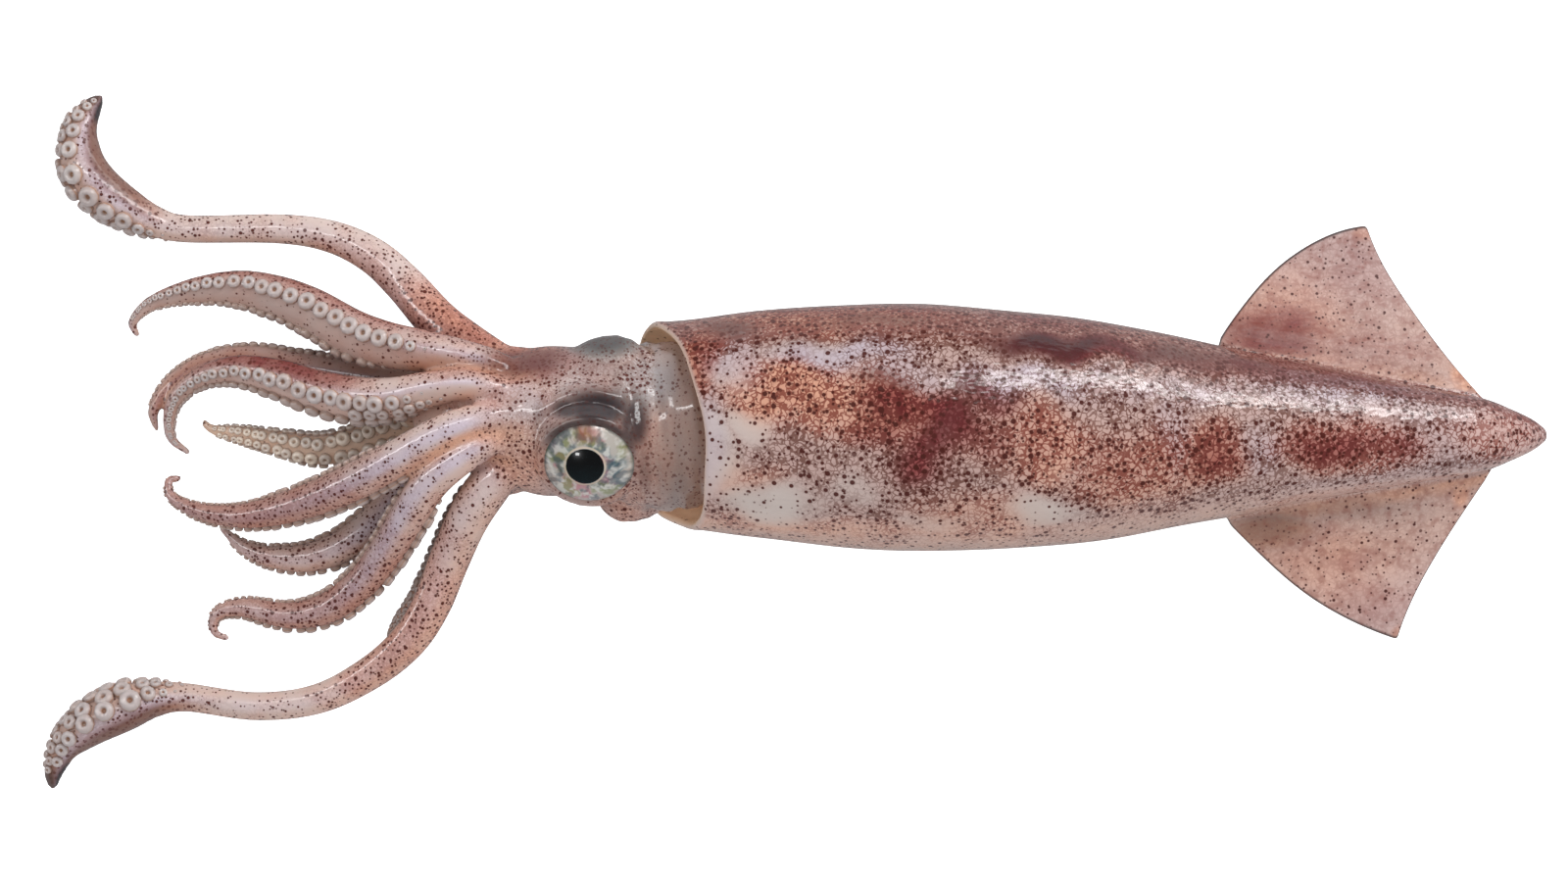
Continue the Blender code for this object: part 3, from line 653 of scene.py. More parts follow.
class Limb:
    """A limb's evenly spaced route, its radius, and the way its oral side faces at each place."""

    def __init__(self, turns, points):
        fine = smooth_route(points, 24)
        steps = np.linalg.norm(np.diff(fine[:, :3], axis=0), axis=1)
        walked = np.concatenate([[0.0], np.cumsum(steps)])
        self.length = walked[-1]
        self.along_at = np.linspace(0.0, self.length, int(self.length / LIMB_STEP) + 1)
        even = np.stack([np.interp(self.along_at, walked, column) for column in fine.T], axis=1)
        self.middle = even[:, :3]
        self.radius = even[:, 3]
        along = unit(np.gradient(self.middle, axis=0))
        beside = unit(np.cross(along, (0.0, 0.0, 1.0)))
        above = np.cross(beside, along)
        oral = np.radians(mix(turns[0], turns[1], self.along_at / self.length))[:, None]
        self.along = along
        self.face = above * np.cos(oral) + beside * np.sin(oral)
        self.across = np.cross(along, self.face)

    def radius_at(self, at):
        """The limb's radius at a distance along its route."""
        return np.interp(at, self.along_at, self.radius)

    def skin(self, station, turn, radius):
        """Points on the limb's skin at turns from the middle of its oral side."""
        depth = np.cos(turn) * np.where(np.cos(turn) > 0.0, ORAL_FLATNESS, 1.0)
        way = self.face[station] * depth[..., None] + self.across[station] * np.sin(turn)[..., None]
        return self.middle[station] + way * radius[..., None]


LIMB_SHAPES = {name: Limb(*sizes) for name, sizes in LIMBS.items()}


def limb_shell(limb, thinnest):
    """Points and faces of a closed tube along a limb, no thinner than the skin grain allows."""
    turns = np.linspace(0.0, 2.0 * math.pi, LIMB_SIDES, endpoint=False)
    radius = np.maximum(limb.radius, thinnest)
    rings = [limb.skin(k, turns, np.full(LIMB_SIDES, radius[k])) for k in range(len(limb.middle))]
    start = limb.middle[0] - limb.along[0] * 0.5
    tip = limb.middle[-1] + limb.along[-1] * radius[-1] * 0.8
    return closed_tube(rings, start, tip)


def plain_shell(route, thinnest):
    """Points and faces of a closed tube along a route of (x, y, z, radius)."""
    return limb_shell(Limb((180.0, 180.0), route), thinnest)


def head_shell():
    """Points and faces of the head and neck."""
    sections = smooth_route(HEAD_SECTIONS, 10)
    turns = np.linspace(0.0, 2.0 * math.pi, HEAD_SIDES, endpoint=False)
    rings = []
    for x, side, height, wide, high in sections:
        y = side + wide * np.sin(turns)
        rings.append(np.stack([np.full(HEAD_SIDES, x), y, height + high * np.cos(turns)], 1))
    return closed_tube(rings, HEAD_NOSE, NECK_END)


def eye_frame(looks):
    """Two ways across an eye (towards +X first, then up) and the way it looks."""
    looks = unit(np.array(looks, float))
    first = unit(np.cross(looks, np.cross((1.0, 0.0, 0.0), looks)))
    return first, np.cross(looks, first), looks


def ball(centre, looks, wide, deep, top, rows=40, sides=72):
    """Points and faces of a flattened ball whose cap above the height top is cut off flat."""
    first, second, axis = eye_frame(looks)
    turns = np.linspace(0.0, 2.0 * math.pi, sides, endpoint=False)
    rings = []
    for polar in np.linspace(0.0, math.pi, rows + 2)[1:-1]:
        height = min(deep * math.cos(polar), top)
        reach = wide * math.sin(polar)
        around = first * np.cos(turns)[:, None] + second * np.sin(turns)[:, None]
        rings.append(np.array(centre) + around * reach + axis * height)
    return closed_tube(rings, np.array(centre) + axis * min(deep, top), np.array(centre) - axis * deep)


def lid_route(eye, start, end, reach, height, thick):
    """Route of a fold of skin along the rim of an eye, thickest in its middle."""
    centre, looks = np.array(EYES[eye][0]), EYES[eye][1]
    first, second, axis = eye_frame(looks)
    route = []
    for share in np.linspace(0.0, 1.0, 15):
        turn = math.radians(mix(start, end, share))
        place = centre + (first * math.cos(turn) + second * math.sin(turn)) * reach + axis * height
        route.append((*place, thick * (0.5 + 0.5 * math.sin(math.pi * share))))
    return route


def fused_skin(shells):
    """Closed shells grown together into one closed skin of even grain: its points and faces."""
    points, faces, first = [], [], 0
    for shell_points, shell_faces in shells:
        points.append(shell_points)
        faces += [tuple(first + i for i in face) for face in shell_faces]
        first += len(shell_points)
    obj = in_scene("shells", closed_mesh("shells", np.vstack(points), faces))
    fuse = obj.modifiers.new("fuse", "REMESH")
    fuse.mode = "VOXEL"
    fuse.voxel_size = SKIN_GRAIN
    grown = bpy.data.meshes.new_from_object(obj.evaluated_get(bpy.context.evaluated_depsgraph_get()))
    skin = np.empty(len(grown.vertices) * 3)
    grown.vertices.foreach_get("co", skin)
    sides = [tuple(face.vertices) for face in grown.polygons]
    edges = np.empty(len(grown.edges) * 2, int)
    grown.edges.foreach_get("vertices", edges)
    bpy.data.objects.remove(obj)
    bpy.data.meshes.remove(grown)
    return skin.reshape(-1, 3), sides, edges.reshape(-1, 2)


def relax(points, edges, strength, rounds):
    """Points drawn towards the middle of their neighbours by a strength of their own."""
    a, b = edges.T
    count = np.bincount(a, minlength=len(points)) + np.bincount(b, minlength=len(points))
    for _ in range(rounds):
        pulled = np.zeros_like(points)
        for column in range(3):
            pulled[:, column] = (
                np.bincount(a, points[b, column], len(points))
                + np.bincount(b, points[a, column], len(points))
            )
        points = points + (pulled / count[:, None] - points) * strength[:, None]
    return points


def limb_notes(points):
    """For each point: its nearest limb's number, the station there and the gap to the next limb."""
    count = len(points)
    gaps = np.full((len(LIMB_SHAPES), count), 60.0)
    stations = np.zeros((len(LIMB_SHAPES), count), int)
    for number, limb in enumerate(LIMB_SHAPES.values()):
        low, high = limb.middle.min(0) - 12.0, limb.middle.max(0) + 12.0
        close = np.flatnonzero(np.all((points > low) & (points < high), axis=1))
        for part in np.array_split(close, max(len(close) // 8000, 1)):
            away = np.linalg.norm(points[part, None] - limb.middle[None], axis=2) - limb.radius
            best = away.argmin(axis=1)
            stations[number, part] = best
            gaps[number, part] = away[np.arange(len(part)), best]
    order = np.argsort(gaps, axis=0)
    every = np.arange(count)
    return order[0], stations[order[0], every], gaps[order[1], every]


def head_gap(points):
    """Rough distance of points from the skin of the head and neck."""
    sections = np.array(HEAD_SECTIONS)
    x = np.clip(points[:, 0], sections[0, 0], sections[-1, 0])
    side, height, wide, high = [np.interp(x, sections[:, 0], column) for column in sections.T[1:]]
    share = np.hypot((points[:, 1] - side) / wide, (points[:, 2] - height) / high)
    return np.hypot((share - 1.0).clip(0.0) * np.minimum(wide, high), points[:, 0] - x)


def build_head_skin():
    """The skin of head, neck, funnel, arms and tentacles, with its tints."""
    shells = [head_shell()]
    shells += [limb_shell(limb, THINNEST_SHELL) for limb in LIMB_SHAPES.values()]
    shells.append(plain_shell(FUNNEL, 1.0))
    for name, (centre, looks, wide, deep, _) in EYES.items():
        shells.append(ball(centre, looks, wide + HOOD_THICK, deep + HOOD_THICK, HOOD_OPENING[name]))
        swelling, cheek_wide, cheek_deep, cut = CHEEKS[name]
        shells.append(ball(swelling, looks, cheek_wide, cheek_deep, cut))
    shells += [plain_shell(lid_route("eye_near", *lid), 0.7) for lid in LIDS]
    shells += [plain_shell(web, 1.0) for web in WEBS]
    points, faces, edges = fused_skin(shells)
    # Creases soften, and the free limbs and the fold over the eye keep their shape
    free = rise(limb_notes(points)[2], 0.6, 2.4) * rise(head_gap(points), 1.0, 6.0)
    lid = 1.0 - rise(np.linalg.norm(points - EYES["eye_near"][0], axis=1), 12.0, 13.4)
    points = relax(points, edges, 0.5 * (1.0 - 0.9 * free) * (1.0 - 0.85 * lid), 10)
    from_eye = np.linalg.norm(points - EYES["eye_near"][0], axis=1)
    points = relax(points, edges, 0.6 * rise(from_eye, 12.4, 13.6) * (1.0 - rise(from_eye, 17.0, 20.0)), 14)
    points = relax(points, edges, 0.4 * (1.0 - 0.7 * lid), 2)
    which, station, next_gap = limb_notes(points)
    free = rise(next_gap, 0.6, 2.4) * rise(head_gap(points), 1.0, 6.0)
    for centre, *_ in EYES.values():
        free *= rise(np.linalg.norm(points - centre, axis=1), 13.5, 17.0)
    # Free limbs go back to their true round shape
    ridge, share, lean = np.zeros((3, len(points)))
    for number, limb in enumerate(LIMB_SHAPES.values()):
        mine = np.flatnonzero(which == number)
        at = station[mine]
        away = points[mine] - limb.middle[at]
        turn = np.arctan2(np.sum(away * limb.across[at], 1), np.sum(away * limb.face[at], 1))
        true = limb.skin(at, turn, limb.radius[at])
        inner = (at > 3) & (at < len(limb.middle) - 2)
        slide = np.sum((points[mine] - true) * limb.along[at], axis=1)[:, None] * limb.along[at]
        points[mine] = mix(points[mine], true + slide, (free[mine] * inner)[:, None])
        ridge[mine] = 0.5 - 0.5 * np.cos(turn)
        share[mine] = limb.along_at[at] / limb.length
        lean[mine] = (away[:, 0] * 0.35 - away[:, 1] * 0.94) / np.maximum(limb.radius[at], 1.0)
    points = relax(points, edges, np.full(len(points), 0.3), 1)
    # Wrinkles on the neck and a little unevenness elsewhere
    neck = rise(points[:, 0], -44.0, -34.0)
    wrinkle = unevenness(points * (2.2, 0.8, 0.8), 9.0, 21) * 0.5 * neck
    wrinkle += unevenness(points, 14.0, 22) * 0.18 * (1.0 - free)
    middle = np.column_stack([points[:, 0], np.tile(HEAD_NOSE[1:], (len(points), 1))])
    points += unit(points - middle) * (wrinkle * (1.0 - rise(head_gap(points), 2.0, 8.0)))[:, None]
    points[:, 2] = np.maximum(points[:, 2], LOWEST_LIMB)
    tints = head_tints(points, which, share, ridge, lean, next_gap)
    return make_piece("head_skin", points, faces, tints), points, faces


# Soft patches on the head: (x, y, half length, half width, strength)
HEAD_FLUSH = (
    (-59.5, 18.8, 10.5, 4.8, 0.75), (-73, 20, 5, 3, 0.4), (-76, -2, 6, 3, 0.4),
    (-53, 19.5, 5, 2.5, 0.5),
)
HEAD_WARM = (
    (-60, 18.2, 12, 5.4, 1), (-30, -2, 6, 12, 0.5), (-60.5, -4, 7, 9, 0.6), (-52, 12, 10, 5, 0.35),
    (-73, 0.5, 5, 2.5, 0.7), (-38, -13, 6, 5, 0.5), (-74, 12.5, 5, 2.5, 0.6), (-22, 0, 5, 26, 0.5),
)
# Lilac skin tone and painted sheen; the patch behind the near eye is a painted highlight
HEAD_COOL = (
    (-63, 9, 12, 5, 0.4), (-72, -7.5, 7, 4, 0.4), (-50, 15, 8, 5, 0.3), (-32.5, 13.5, 6, 5, 0.5),
)
HEAD_GLASS = (
    (-43, 22.5, 12, 5, 1), (-33.5, 13, 8, 8, 0.6), (-50, 14, 10, 6, 0.4), (-43.5, 7.5, 11, 5, 0.3),
    (-25, 0, 9, 26, 0.2), (-36, -14, 8, 5, 0.25), (-60, 5, 7, 9, 0.3),
)
# Dark patches on the head, most of them over and beside the near eye and on the neck
HEAD_SHADE = (
    (-43.6, 7.4, 10, 6, 0.95), (-35.5, 4, 4.4, 7.5, 0.9), (-43, 23, 10.5, 4, 0.74),
    (-33, -4, 2.6, 9, 0.5), (-50, 7.4, 5, 3, 0.9), (-43, 17, 11, 4, 0.2), (-56.5, 3, 1.8, 8, 0.3),
    (-24.5, 0, 9, 28, 0.5), (-59.5, 18.8, 11, 5, 0.62),
)
# The far eye's own shade
FAR_EYE_SHADE = (-43, 23.5, 11, 5, 0.85)
# Soft bands on the limbs: limb, then (share of its length, how near its ridge is, half sizes, strength)
LIMB_DOTS = {
    "tentacle_far": ((0.13, 0.6, 0.15, 0.9, 1.5), (0.3, 0.4, 0.16, 0.5, 0.6), (0.64, 0.5, 0.1, 0.9, 0.45)),
    "tentacle_near": ((0.36, 0.6, 0.2, 0.6, 0.6), (0.2, 0.5, 0.12, 0.5, 0.35), (0.72, 0.5, 0.1, 0.9, 0.5)),
    "arm_1": ((0.55, 0.95, 0.5, 0.5, 1.1), (0.25, 0.1, 0.2, 0.4, 0.4)),
    "arm_2": ((0.65, 0.6, 0.4, 0.7, 0.8),),
    "arm_3": ((0.6, 0.75, 0.2, 0.55, 1.9), (0.2, 0.8, 0.1, 0.4, 0.5)),
    "arm_5": ((0.7, 0.8, 0.35, 0.6, 0.6),),
    "arm_7": ((0.62, 0.6, 0.35, 0.6, 0.6),),
}


def head_tints(points, which, share, ridge, lean, next_gap):
    """Tints of the skin of head and limbs from where each point lies."""
    x, y, z = points.T
    names = list(LIMB_SHAPES)
    near_head = 1.0 - rise(head_gap(points), 2.0, 9.0)
    upper = rise(z, 12.0, 20.0) * near_head
    limb = 1.0 - near_head
    mottle = unevenness(points, 8.0, 31)
    # Painted shade: warmer, darker skin in the creases where the limbs lie close together
    crease = (1.0 - rise(next_gap, 0.3, 4.0)) * (x < -60.0)
    bands = np.zeros(len(points))
    for name, marks in LIMB_DOTS.items():
        mine = which == names.index(name)
        bands[mine] = patches(share[mine], ridge[mine], marks)
    apart = points - np.array(EYES["eye_near"][0])
    _, upward, looks = eye_frame(EYES["eye_near"][1])
    height = apart @ looks
    from_axis = np.linalg.norm(apart - height[:, None] * looks, axis=1)
    eyelid = (1.0 - rise(np.abs(from_axis - 10.6), 0.5, 2.2)) * (height > 0.0)
    eyelid *= 0.25 + 0.75 * rise(apart @ upward / np.maximum(from_axis, 1.0), 0.1, 0.8)
    tentacle = which < 2
    club = tentacle * rise(share, 0.68, 0.8)
    edge = club * rise(ridge, 0.35, 0.65) + tentacle * rise(share, 0.93, 0.98)
    between = club * (1.0 - rise(ridge, 0.1, 0.35))
    arm = limb * ~tentacle
    aged = arm * rise(share, 0.3, 0.85)
    oral = arm * (1.0 - rise(ridge, 0.1, 0.35))
    # Painted sheen: lilac on the side of each limb that faces the lights, near its ridge
    lit = rise(lean, -0.75, 0.0) * (1.0 - rise(lean, 0.1, 0.7)) * rise(ridge, 0.12, 0.35)
    flush = patches(x, y, HEAD_FLUSH) * upper + np.where(tentacle, 0.34 * (share < 0.5), 0.45) * bands * limb
    flush += 0.36 * edge + 0.12 * aged
    tan = bands * limb * np.where(tentacle, 0.9 * (1.0 - rise(share, 0.45, 0.6)), 0.25)
    warm = patches(x, y, HEAD_WARM) * near_head + 0.75 * crease + tan
    # Limbs are warmer towards their oral sides, and warmer as painted shade on the sides turned away from the
    # lights
    warm += limb * (0.04 + 0.3 * rise(lean, 0.1, 0.9) + 0.12 * (1.0 - ridge)) + edge + 0.3 * between
    warm += 0.2 * aged * (which > 4)
    # Painted light: the low skin of the arms under the crown is made amber and lighter where it lies in shade
    warm += 0.4 * arm * (1.0 - rise(z, 8.0, 18.0)) * rise(x, -100.0, -80.0)
    cool = patches(x, y, HEAD_COOL) * upper + limb * lit * np.where(tentacle, 0.3, 1.0 - 0.6 * aged)
    cool = mix(cool, 0.8 * rise(ridge, 0.1, 0.4) * (1.0 - rise(ridge, 0.5, 0.7)), club)
    shade = patches(x, y, HEAD_SHADE) * rise(z, 16.0, 24.0) + 0.2 * crease + 0.03 * near_head
    shade = np.maximum(shade, patch(x, y, FAR_EYE_SHADE) * (y > 17.0))
    # A dark ring on the skin round the near eye, darkest above it: the lid's own dark margin, and painted
    # shade under its fold
    shade = np.maximum(shade, 0.9 * eyelid)
    # The clubs' dark edges are their own colour; the darker skin among the clubs' suckers is painted shade
    shade += np.where(tentacle, 0.03, 0.13) * bands * limb + 0.68 * edge + 0.2 * between
    # Arms darken towards their tips; their oral sides among the suckers are darker as painted shade
    shade += 0.08 * aged + 0.1 * oral
    pale = np.where(tentacle, 0.65, 0.5) * limb * (1.0 - tan).clip(0.0)
    pale += 0.5 * (1.0 - rise(z, 6.0, 14.0)) * near_head
    # Painted light: the arm lying under the others is made pale, nearly free of dots and faintly glowing, so
    # that it shows bright in their shade
    hidden = (which == names.index("arm_4")) * limb
    pale = np.maximum(pale, np.maximum(0.45 * rise(x, -34.0, -26.0), hidden))
    dots = mix(0.56, 0.46, limb) + 0.14 * mottle + 0.5 * bands + 0.35 * patches(x, y, HEAD_WARM) * upper
    dots = dots + 0.5 * patches(x, y, HEAD_SHADE) * upper + 0.3 * club + 0.3 * edge + 0.2 * aged
    dots = dots * (0.45 + 0.55 * rise(ridge, 0.1, 0.45) * limb + 0.55 * near_head)
    dots = dots * (1.0 - 0.6 * rise(x, -36.0, -28.0)) * (1.0 - 0.8 * hidden)
    return held({
        "flush": flush + 0.04 * mottle, "warm": warm + 0.06 * mottle, "cool": cool, "shade": shade,
        "pale": pale, "dots": dots, "dry": np.zeros(len(points)),
        "glass": patches(x, y, HEAD_GLASS) * upper, "lining": 0.4 * hidden,
    })


# --- suckers -------------------------------------------------------------------------------


def sucker_seats(skin_points, skin_faces):
    """Where every sucker sits: places, the ways they face, diameters, turns and tones."""
    rng = np.random.default_rng(SUCKER_SEED)
    tree = BVHTree.FromPolygons(skin_points.tolist(), skin_faces)
    seats = []
    for name, rows in SUCKER_ROWS.items():
        limb = LIMB_SHAPES[name]
        for turn_deg, first, last, size, start, brown in rows:
            at = first * limb.length
            at += start * size * limb.radius_at(at) * SUCKER_PITCH
            while at < last * limb.length:
                radius = limb.radius_at(at)
                grown = rise(at - first * limb.length, -4.0, 9.0)
                wide = max(size * radius * rng.uniform(0.92, 1.08) * grown, SMALLEST_SUCKER)
                turn = np.array(math.radians(turn_deg + rng.uniform(-4.0, 4.0)))
                k = int(round(np.interp(at, limb.along_at, np.arange(len(limb.middle)))))
                place = limb.skin(k, turn, np.array(radius))
                way = unit(limb.face[k] * math.cos(turn) + limb.across[k] * math.sin(turn))
                hit, normal, _, away = tree.find_nearest(Vector(place), 3.0)
                if hit is not None and away < SEAT_GAP and np.dot(normal, way) > SEAT_FACING:
                    way = unit(np.array(normal) + way)
                    place = np.array(hit) + way * SUCKER_LIFT * wide
                    tone = brown + rng.uniform(-0.2, 0.2)
                    seats.append((*place, *way, wide, rng.uniform(0.0, 6.28), tone))
                at += max(size * radius, SMALLEST_SUCKER) * SUCKER_PITCH * rng.uniform(0.96, 1.04)
    return np.array(seats)


def cup(name, sides, profile):
    """One sucker one unit wide, on the origin and open towards +Z, with a tint from stalk to hole."""
    rings, tints = [], []
    turns = np.linspace(0.0, 2.0 * math.pi, sides, endpoint=False)
    for reach, height, tint in profile:
        rings.append(np.stack([np.cos(turns) * reach, np.sin(turns) * reach, np.full(sides, height)], 1))
        tints += [tint] * sides
    points, faces = closed_tube(rings, (0.0, 0.0, profile[0][1]), (0.0, 0.0, profile[-1][1]))
    return make_piece(name, points / MM, faces, {"cup": tints + [profile[0][2], profile[-1][2]]})


# Section of a sucker from its stalk over the rim into the hole: (reach, height, tint)
CUP_PROFILE = (
    (0.34, -0.55, 0), (0.48, -0.26, 0.1), (0.53, -0.04, 0.32), (0.51, 0.1, 0.7), (0.43, 0.23, 0.9),
    (0.31, 0.29, 1), (0.2, 0.25, 0.9), (0.14, 0.15, 0.62), (0.1, 0.05, 0.45), (0.05, 0.03, 0.4),
)


def feed(tree, made, inputs):
    """Give the inputs of a node values, or links from other nodes' outputs."""
    for key, value in inputs.items():
        if isinstance(value, bpy.types.NodeSocket):
            tree.links.new(value, made.inputs[key])
        elif made.inputs[key].type == "RGBA":
            made.inputs[key].default_value = (*value, 1.0)
        else:
            made.inputs[key].default_value = value


def node(tree, kind, inputs=(), **settings):
    """A node with its settings, whose inputs take values or other nodes' outputs."""
    made = tree.nodes.new(kind)
    for name, value in settings.items():
        setattr(made, name, value)
    feed(tree, made, dict(inputs))
    return made


def sockets(tree, inputs, outputs):
    """Name the inputs and outputs of a node tree: (name, socket kind, value)."""
    for name, kind, value in inputs:
        made = tree.interface.new_socket(name=name, in_out="INPUT", socket_type=kind)
        if value is not None:
            made.default_value = value
    for name, kind in outputs:
        tree.interface.new_socket(name=name, in_out="OUTPUT", socket_type=kind)


def scatter_tree():
    """Geometry nodes that set a sucker on every seat, facing its way, and make them real."""
    tree = bpy.data.node_groups.new("seat_suckers", "GeometryNodeTree")
    sockets(tree, (
        ("Seats", "NodeSocketGeometry", None), ("Sucker", "NodeSocketObject", None),
        ("Finish", "NodeSocketMaterial", None),
    ), (("Suckers", "NodeSocketGeometry"),))
    given = node(tree, "NodeGroupInput").outputs
    shape = node(tree, "GeometryNodeObjectInfo", {"Object": given["Sucker"]})
    facing, wide, spin = [
        node(tree, "GeometryNodeInputNamedAttribute", {"Name": name}, data_type=kind).outputs[0]
        for name, kind in (("facing", "FLOAT_VECTOR"), ("wide", "FLOAT"), ("spin", "FLOAT"))
    ]
    aligned = node(tree, "FunctionNodeAlignRotationToVector", {"Vector": facing}, axis="Z")
    twist = node(tree, "FunctionNodeAxisAngleToRotation", {"Axis": (0.0, 0.0, 1.0), "Angle": spin})
    turned = node(tree, "FunctionNodeRotateRotation", {
        "Rotation": aligned.outputs[0], "Rotate By": twist.outputs[0],
    }, rotation_space="LOCAL")
    placed = node(tree, "GeometryNodeInstanceOnPoints", {
        "Points": given["Seats"], "Instance": shape.outputs["Geometry"],
        "Rotation": turned.outputs[0], "Scale": wide,
    })
    real = node(tree, "GeometryNodeRealizeInstances", {"Geometry": placed.outputs[0]})
    finished = node(tree, "GeometryNodeSetMaterial", {
        "Geometry": real.outputs[0], "Material": given["Finish"],
    })
    node(tree, "NodeGroupOutput", {"Suckers": finished.outputs[0]})
    return tree


def build_suckers(name, seats, shape, finish, tree):
    """One piece with a sucker on each of the seats."""
    mesh = bpy.data.meshes.new(name + "_seats")
    mesh.from_pydata((seats[:, :3] * MM).tolist(), [], [])
    facing = mesh.attributes.new("facing", "FLOAT_VECTOR", "POINT")
    facing.data.foreach_set("vector", seats[:, 3:6].astype(np.float32).ravel())
    paint(mesh, {"wide": seats[:, 6] * MM, "spin": seats[:, 7], "tone": seats[:, 8]})
    holder = in_scene(name, mesh)
    scatter = holder.modifiers.new("suckers", "NODES")
    scatter.node_group = tree
    wanted = {"Sucker": shape, "Finish": finish}
    for item in tree.interface.items_tree:
        if item.in_out == "INPUT" and item.name in wanted:
            scatter[item.identifier] = wanted[item.name]
    bpy.context.view_layer.update()
    real = bpy.data.meshes.new_from_object(holder.evaluated_get(bpy.context.evaluated_depsgraph_get()))
    holder.modifiers.remove(scatter)
    holder.data = real
    bpy.data.meshes.remove(mesh)
    real.shade_smooth()
    return holder


# --- eyeballs ------------------------------------------------------------------------------


def build_eyeball(name):
    """A smooth eyeball with the distance of each point from the middle of the pupil."""
    centre, looks, wide, deep, pupil = EYES[name]
    points, faces = ball(centre, looks, wide, deep, deep + 1.0, rows=110, sides=144)
    away = unit(points - np.array(centre))
    apart = np.degrees(np.arccos(np.clip(away @ unit(np.array(pupil)), -1.0, 1.0)))
    outer = np.degrees(np.arccos(np.clip(away @ unit(np.array(looks)), -1.0, 1.0)))
    first, second, _ = eye_frame(pupil)
    tints = {"apart": apart, "outer": outer, "across_eye": away @ first, "up_eye": away @ second}
    return make_piece(name + "_ball", points, faces, tints)


# --- finishes ------------------------------------------------------------------------------


def value_of(tree, name):
    """The value of a tint painted on the points."""
    return node(tree, "ShaderNodeAttribute", attribute_name=name).outputs["Fac"]


def maths(tree, operation, *values, clamp=False):
    """The outcome of one sum."""
    return node(tree, "ShaderNodeMath", enumerate(values), operation=operation, use_clamp=clamp).outputs[0]


def times(tree, a, b):
    """One value times another."""
    return maths(tree, "MULTIPLY", a, b)


def fit(tree, value, low, high, to_low=0.0, to_high=1.0):
    """A value moved from one span to another, and held inside it."""
    return node(tree, "ShaderNodeMapRange", {
        "Value": value, "From Min": low, "From Max": high, "To Min": to_low, "To Max": to_high,
    }).outputs[0]


def blended(tree, share, a, b):
    """Colour a turned towards colour b by a share."""
    return node(tree, "ShaderNodeMix", {0: share, 6: a, 7: b}, data_type="RGBA").outputs[2]


def place_mm(tree):
    """The place on the object in millimetres."""
    where = node(tree, "ShaderNodeTexCoord").outputs["Object"]
    return node(tree, "ShaderNodeVectorMath", {0: where, "Scale": 1.0 / MM}, operation="SCALE").outputs[0]


def cloud(tree, place, size, detail):
    """Soft random values about size apart, in the units of the place."""
    return node(tree, "ShaderNodeTexNoise", {"Vector": place, "Scale": 1.0 / size, "Detail": detail})


def dot_layer(tree, place, density, size, smallest, largest, grown):
    """Dots, one to a loose cell, of random size, where a random value is under the density.

    The second value is a soft ring of colour that reaches beyond each dot.
    """
    made = node(tree, "ShaderNodeTexVoronoi", {"Vector": place, "Scale": 1.0 / size, "Randomness": 0.78})
    away = times(tree, made.outputs["Distance"], size)
    chance = node(tree, "ShaderNodeSeparateColor", {"Color": made.outputs["Color"]}).outputs
    reach = fit(tree, chance[0], 0.0, 1.0, smallest, largest)
    edge = maths(tree, "MULTIPLY_ADD", reach, grown, times(tree, away, -1.0))
    there = fit(tree, maths(tree, "SUBTRACT", density, chance[1]), -0.04, 0.04)
    core = times(tree, fit(tree, edge, -0.07, 0.07), there)
    return core, times(tree, fit(tree, edge, -0.45, 0.05), there)


def group(name, inputs, outputs):
    """An empty shader group with named inputs and outputs."""
    tree = bpy.data.node_groups.new(name, "ShaderNodeTree")
    sockets(tree, inputs, outputs)
    return tree, node(tree, "NodeGroupInput").outputs


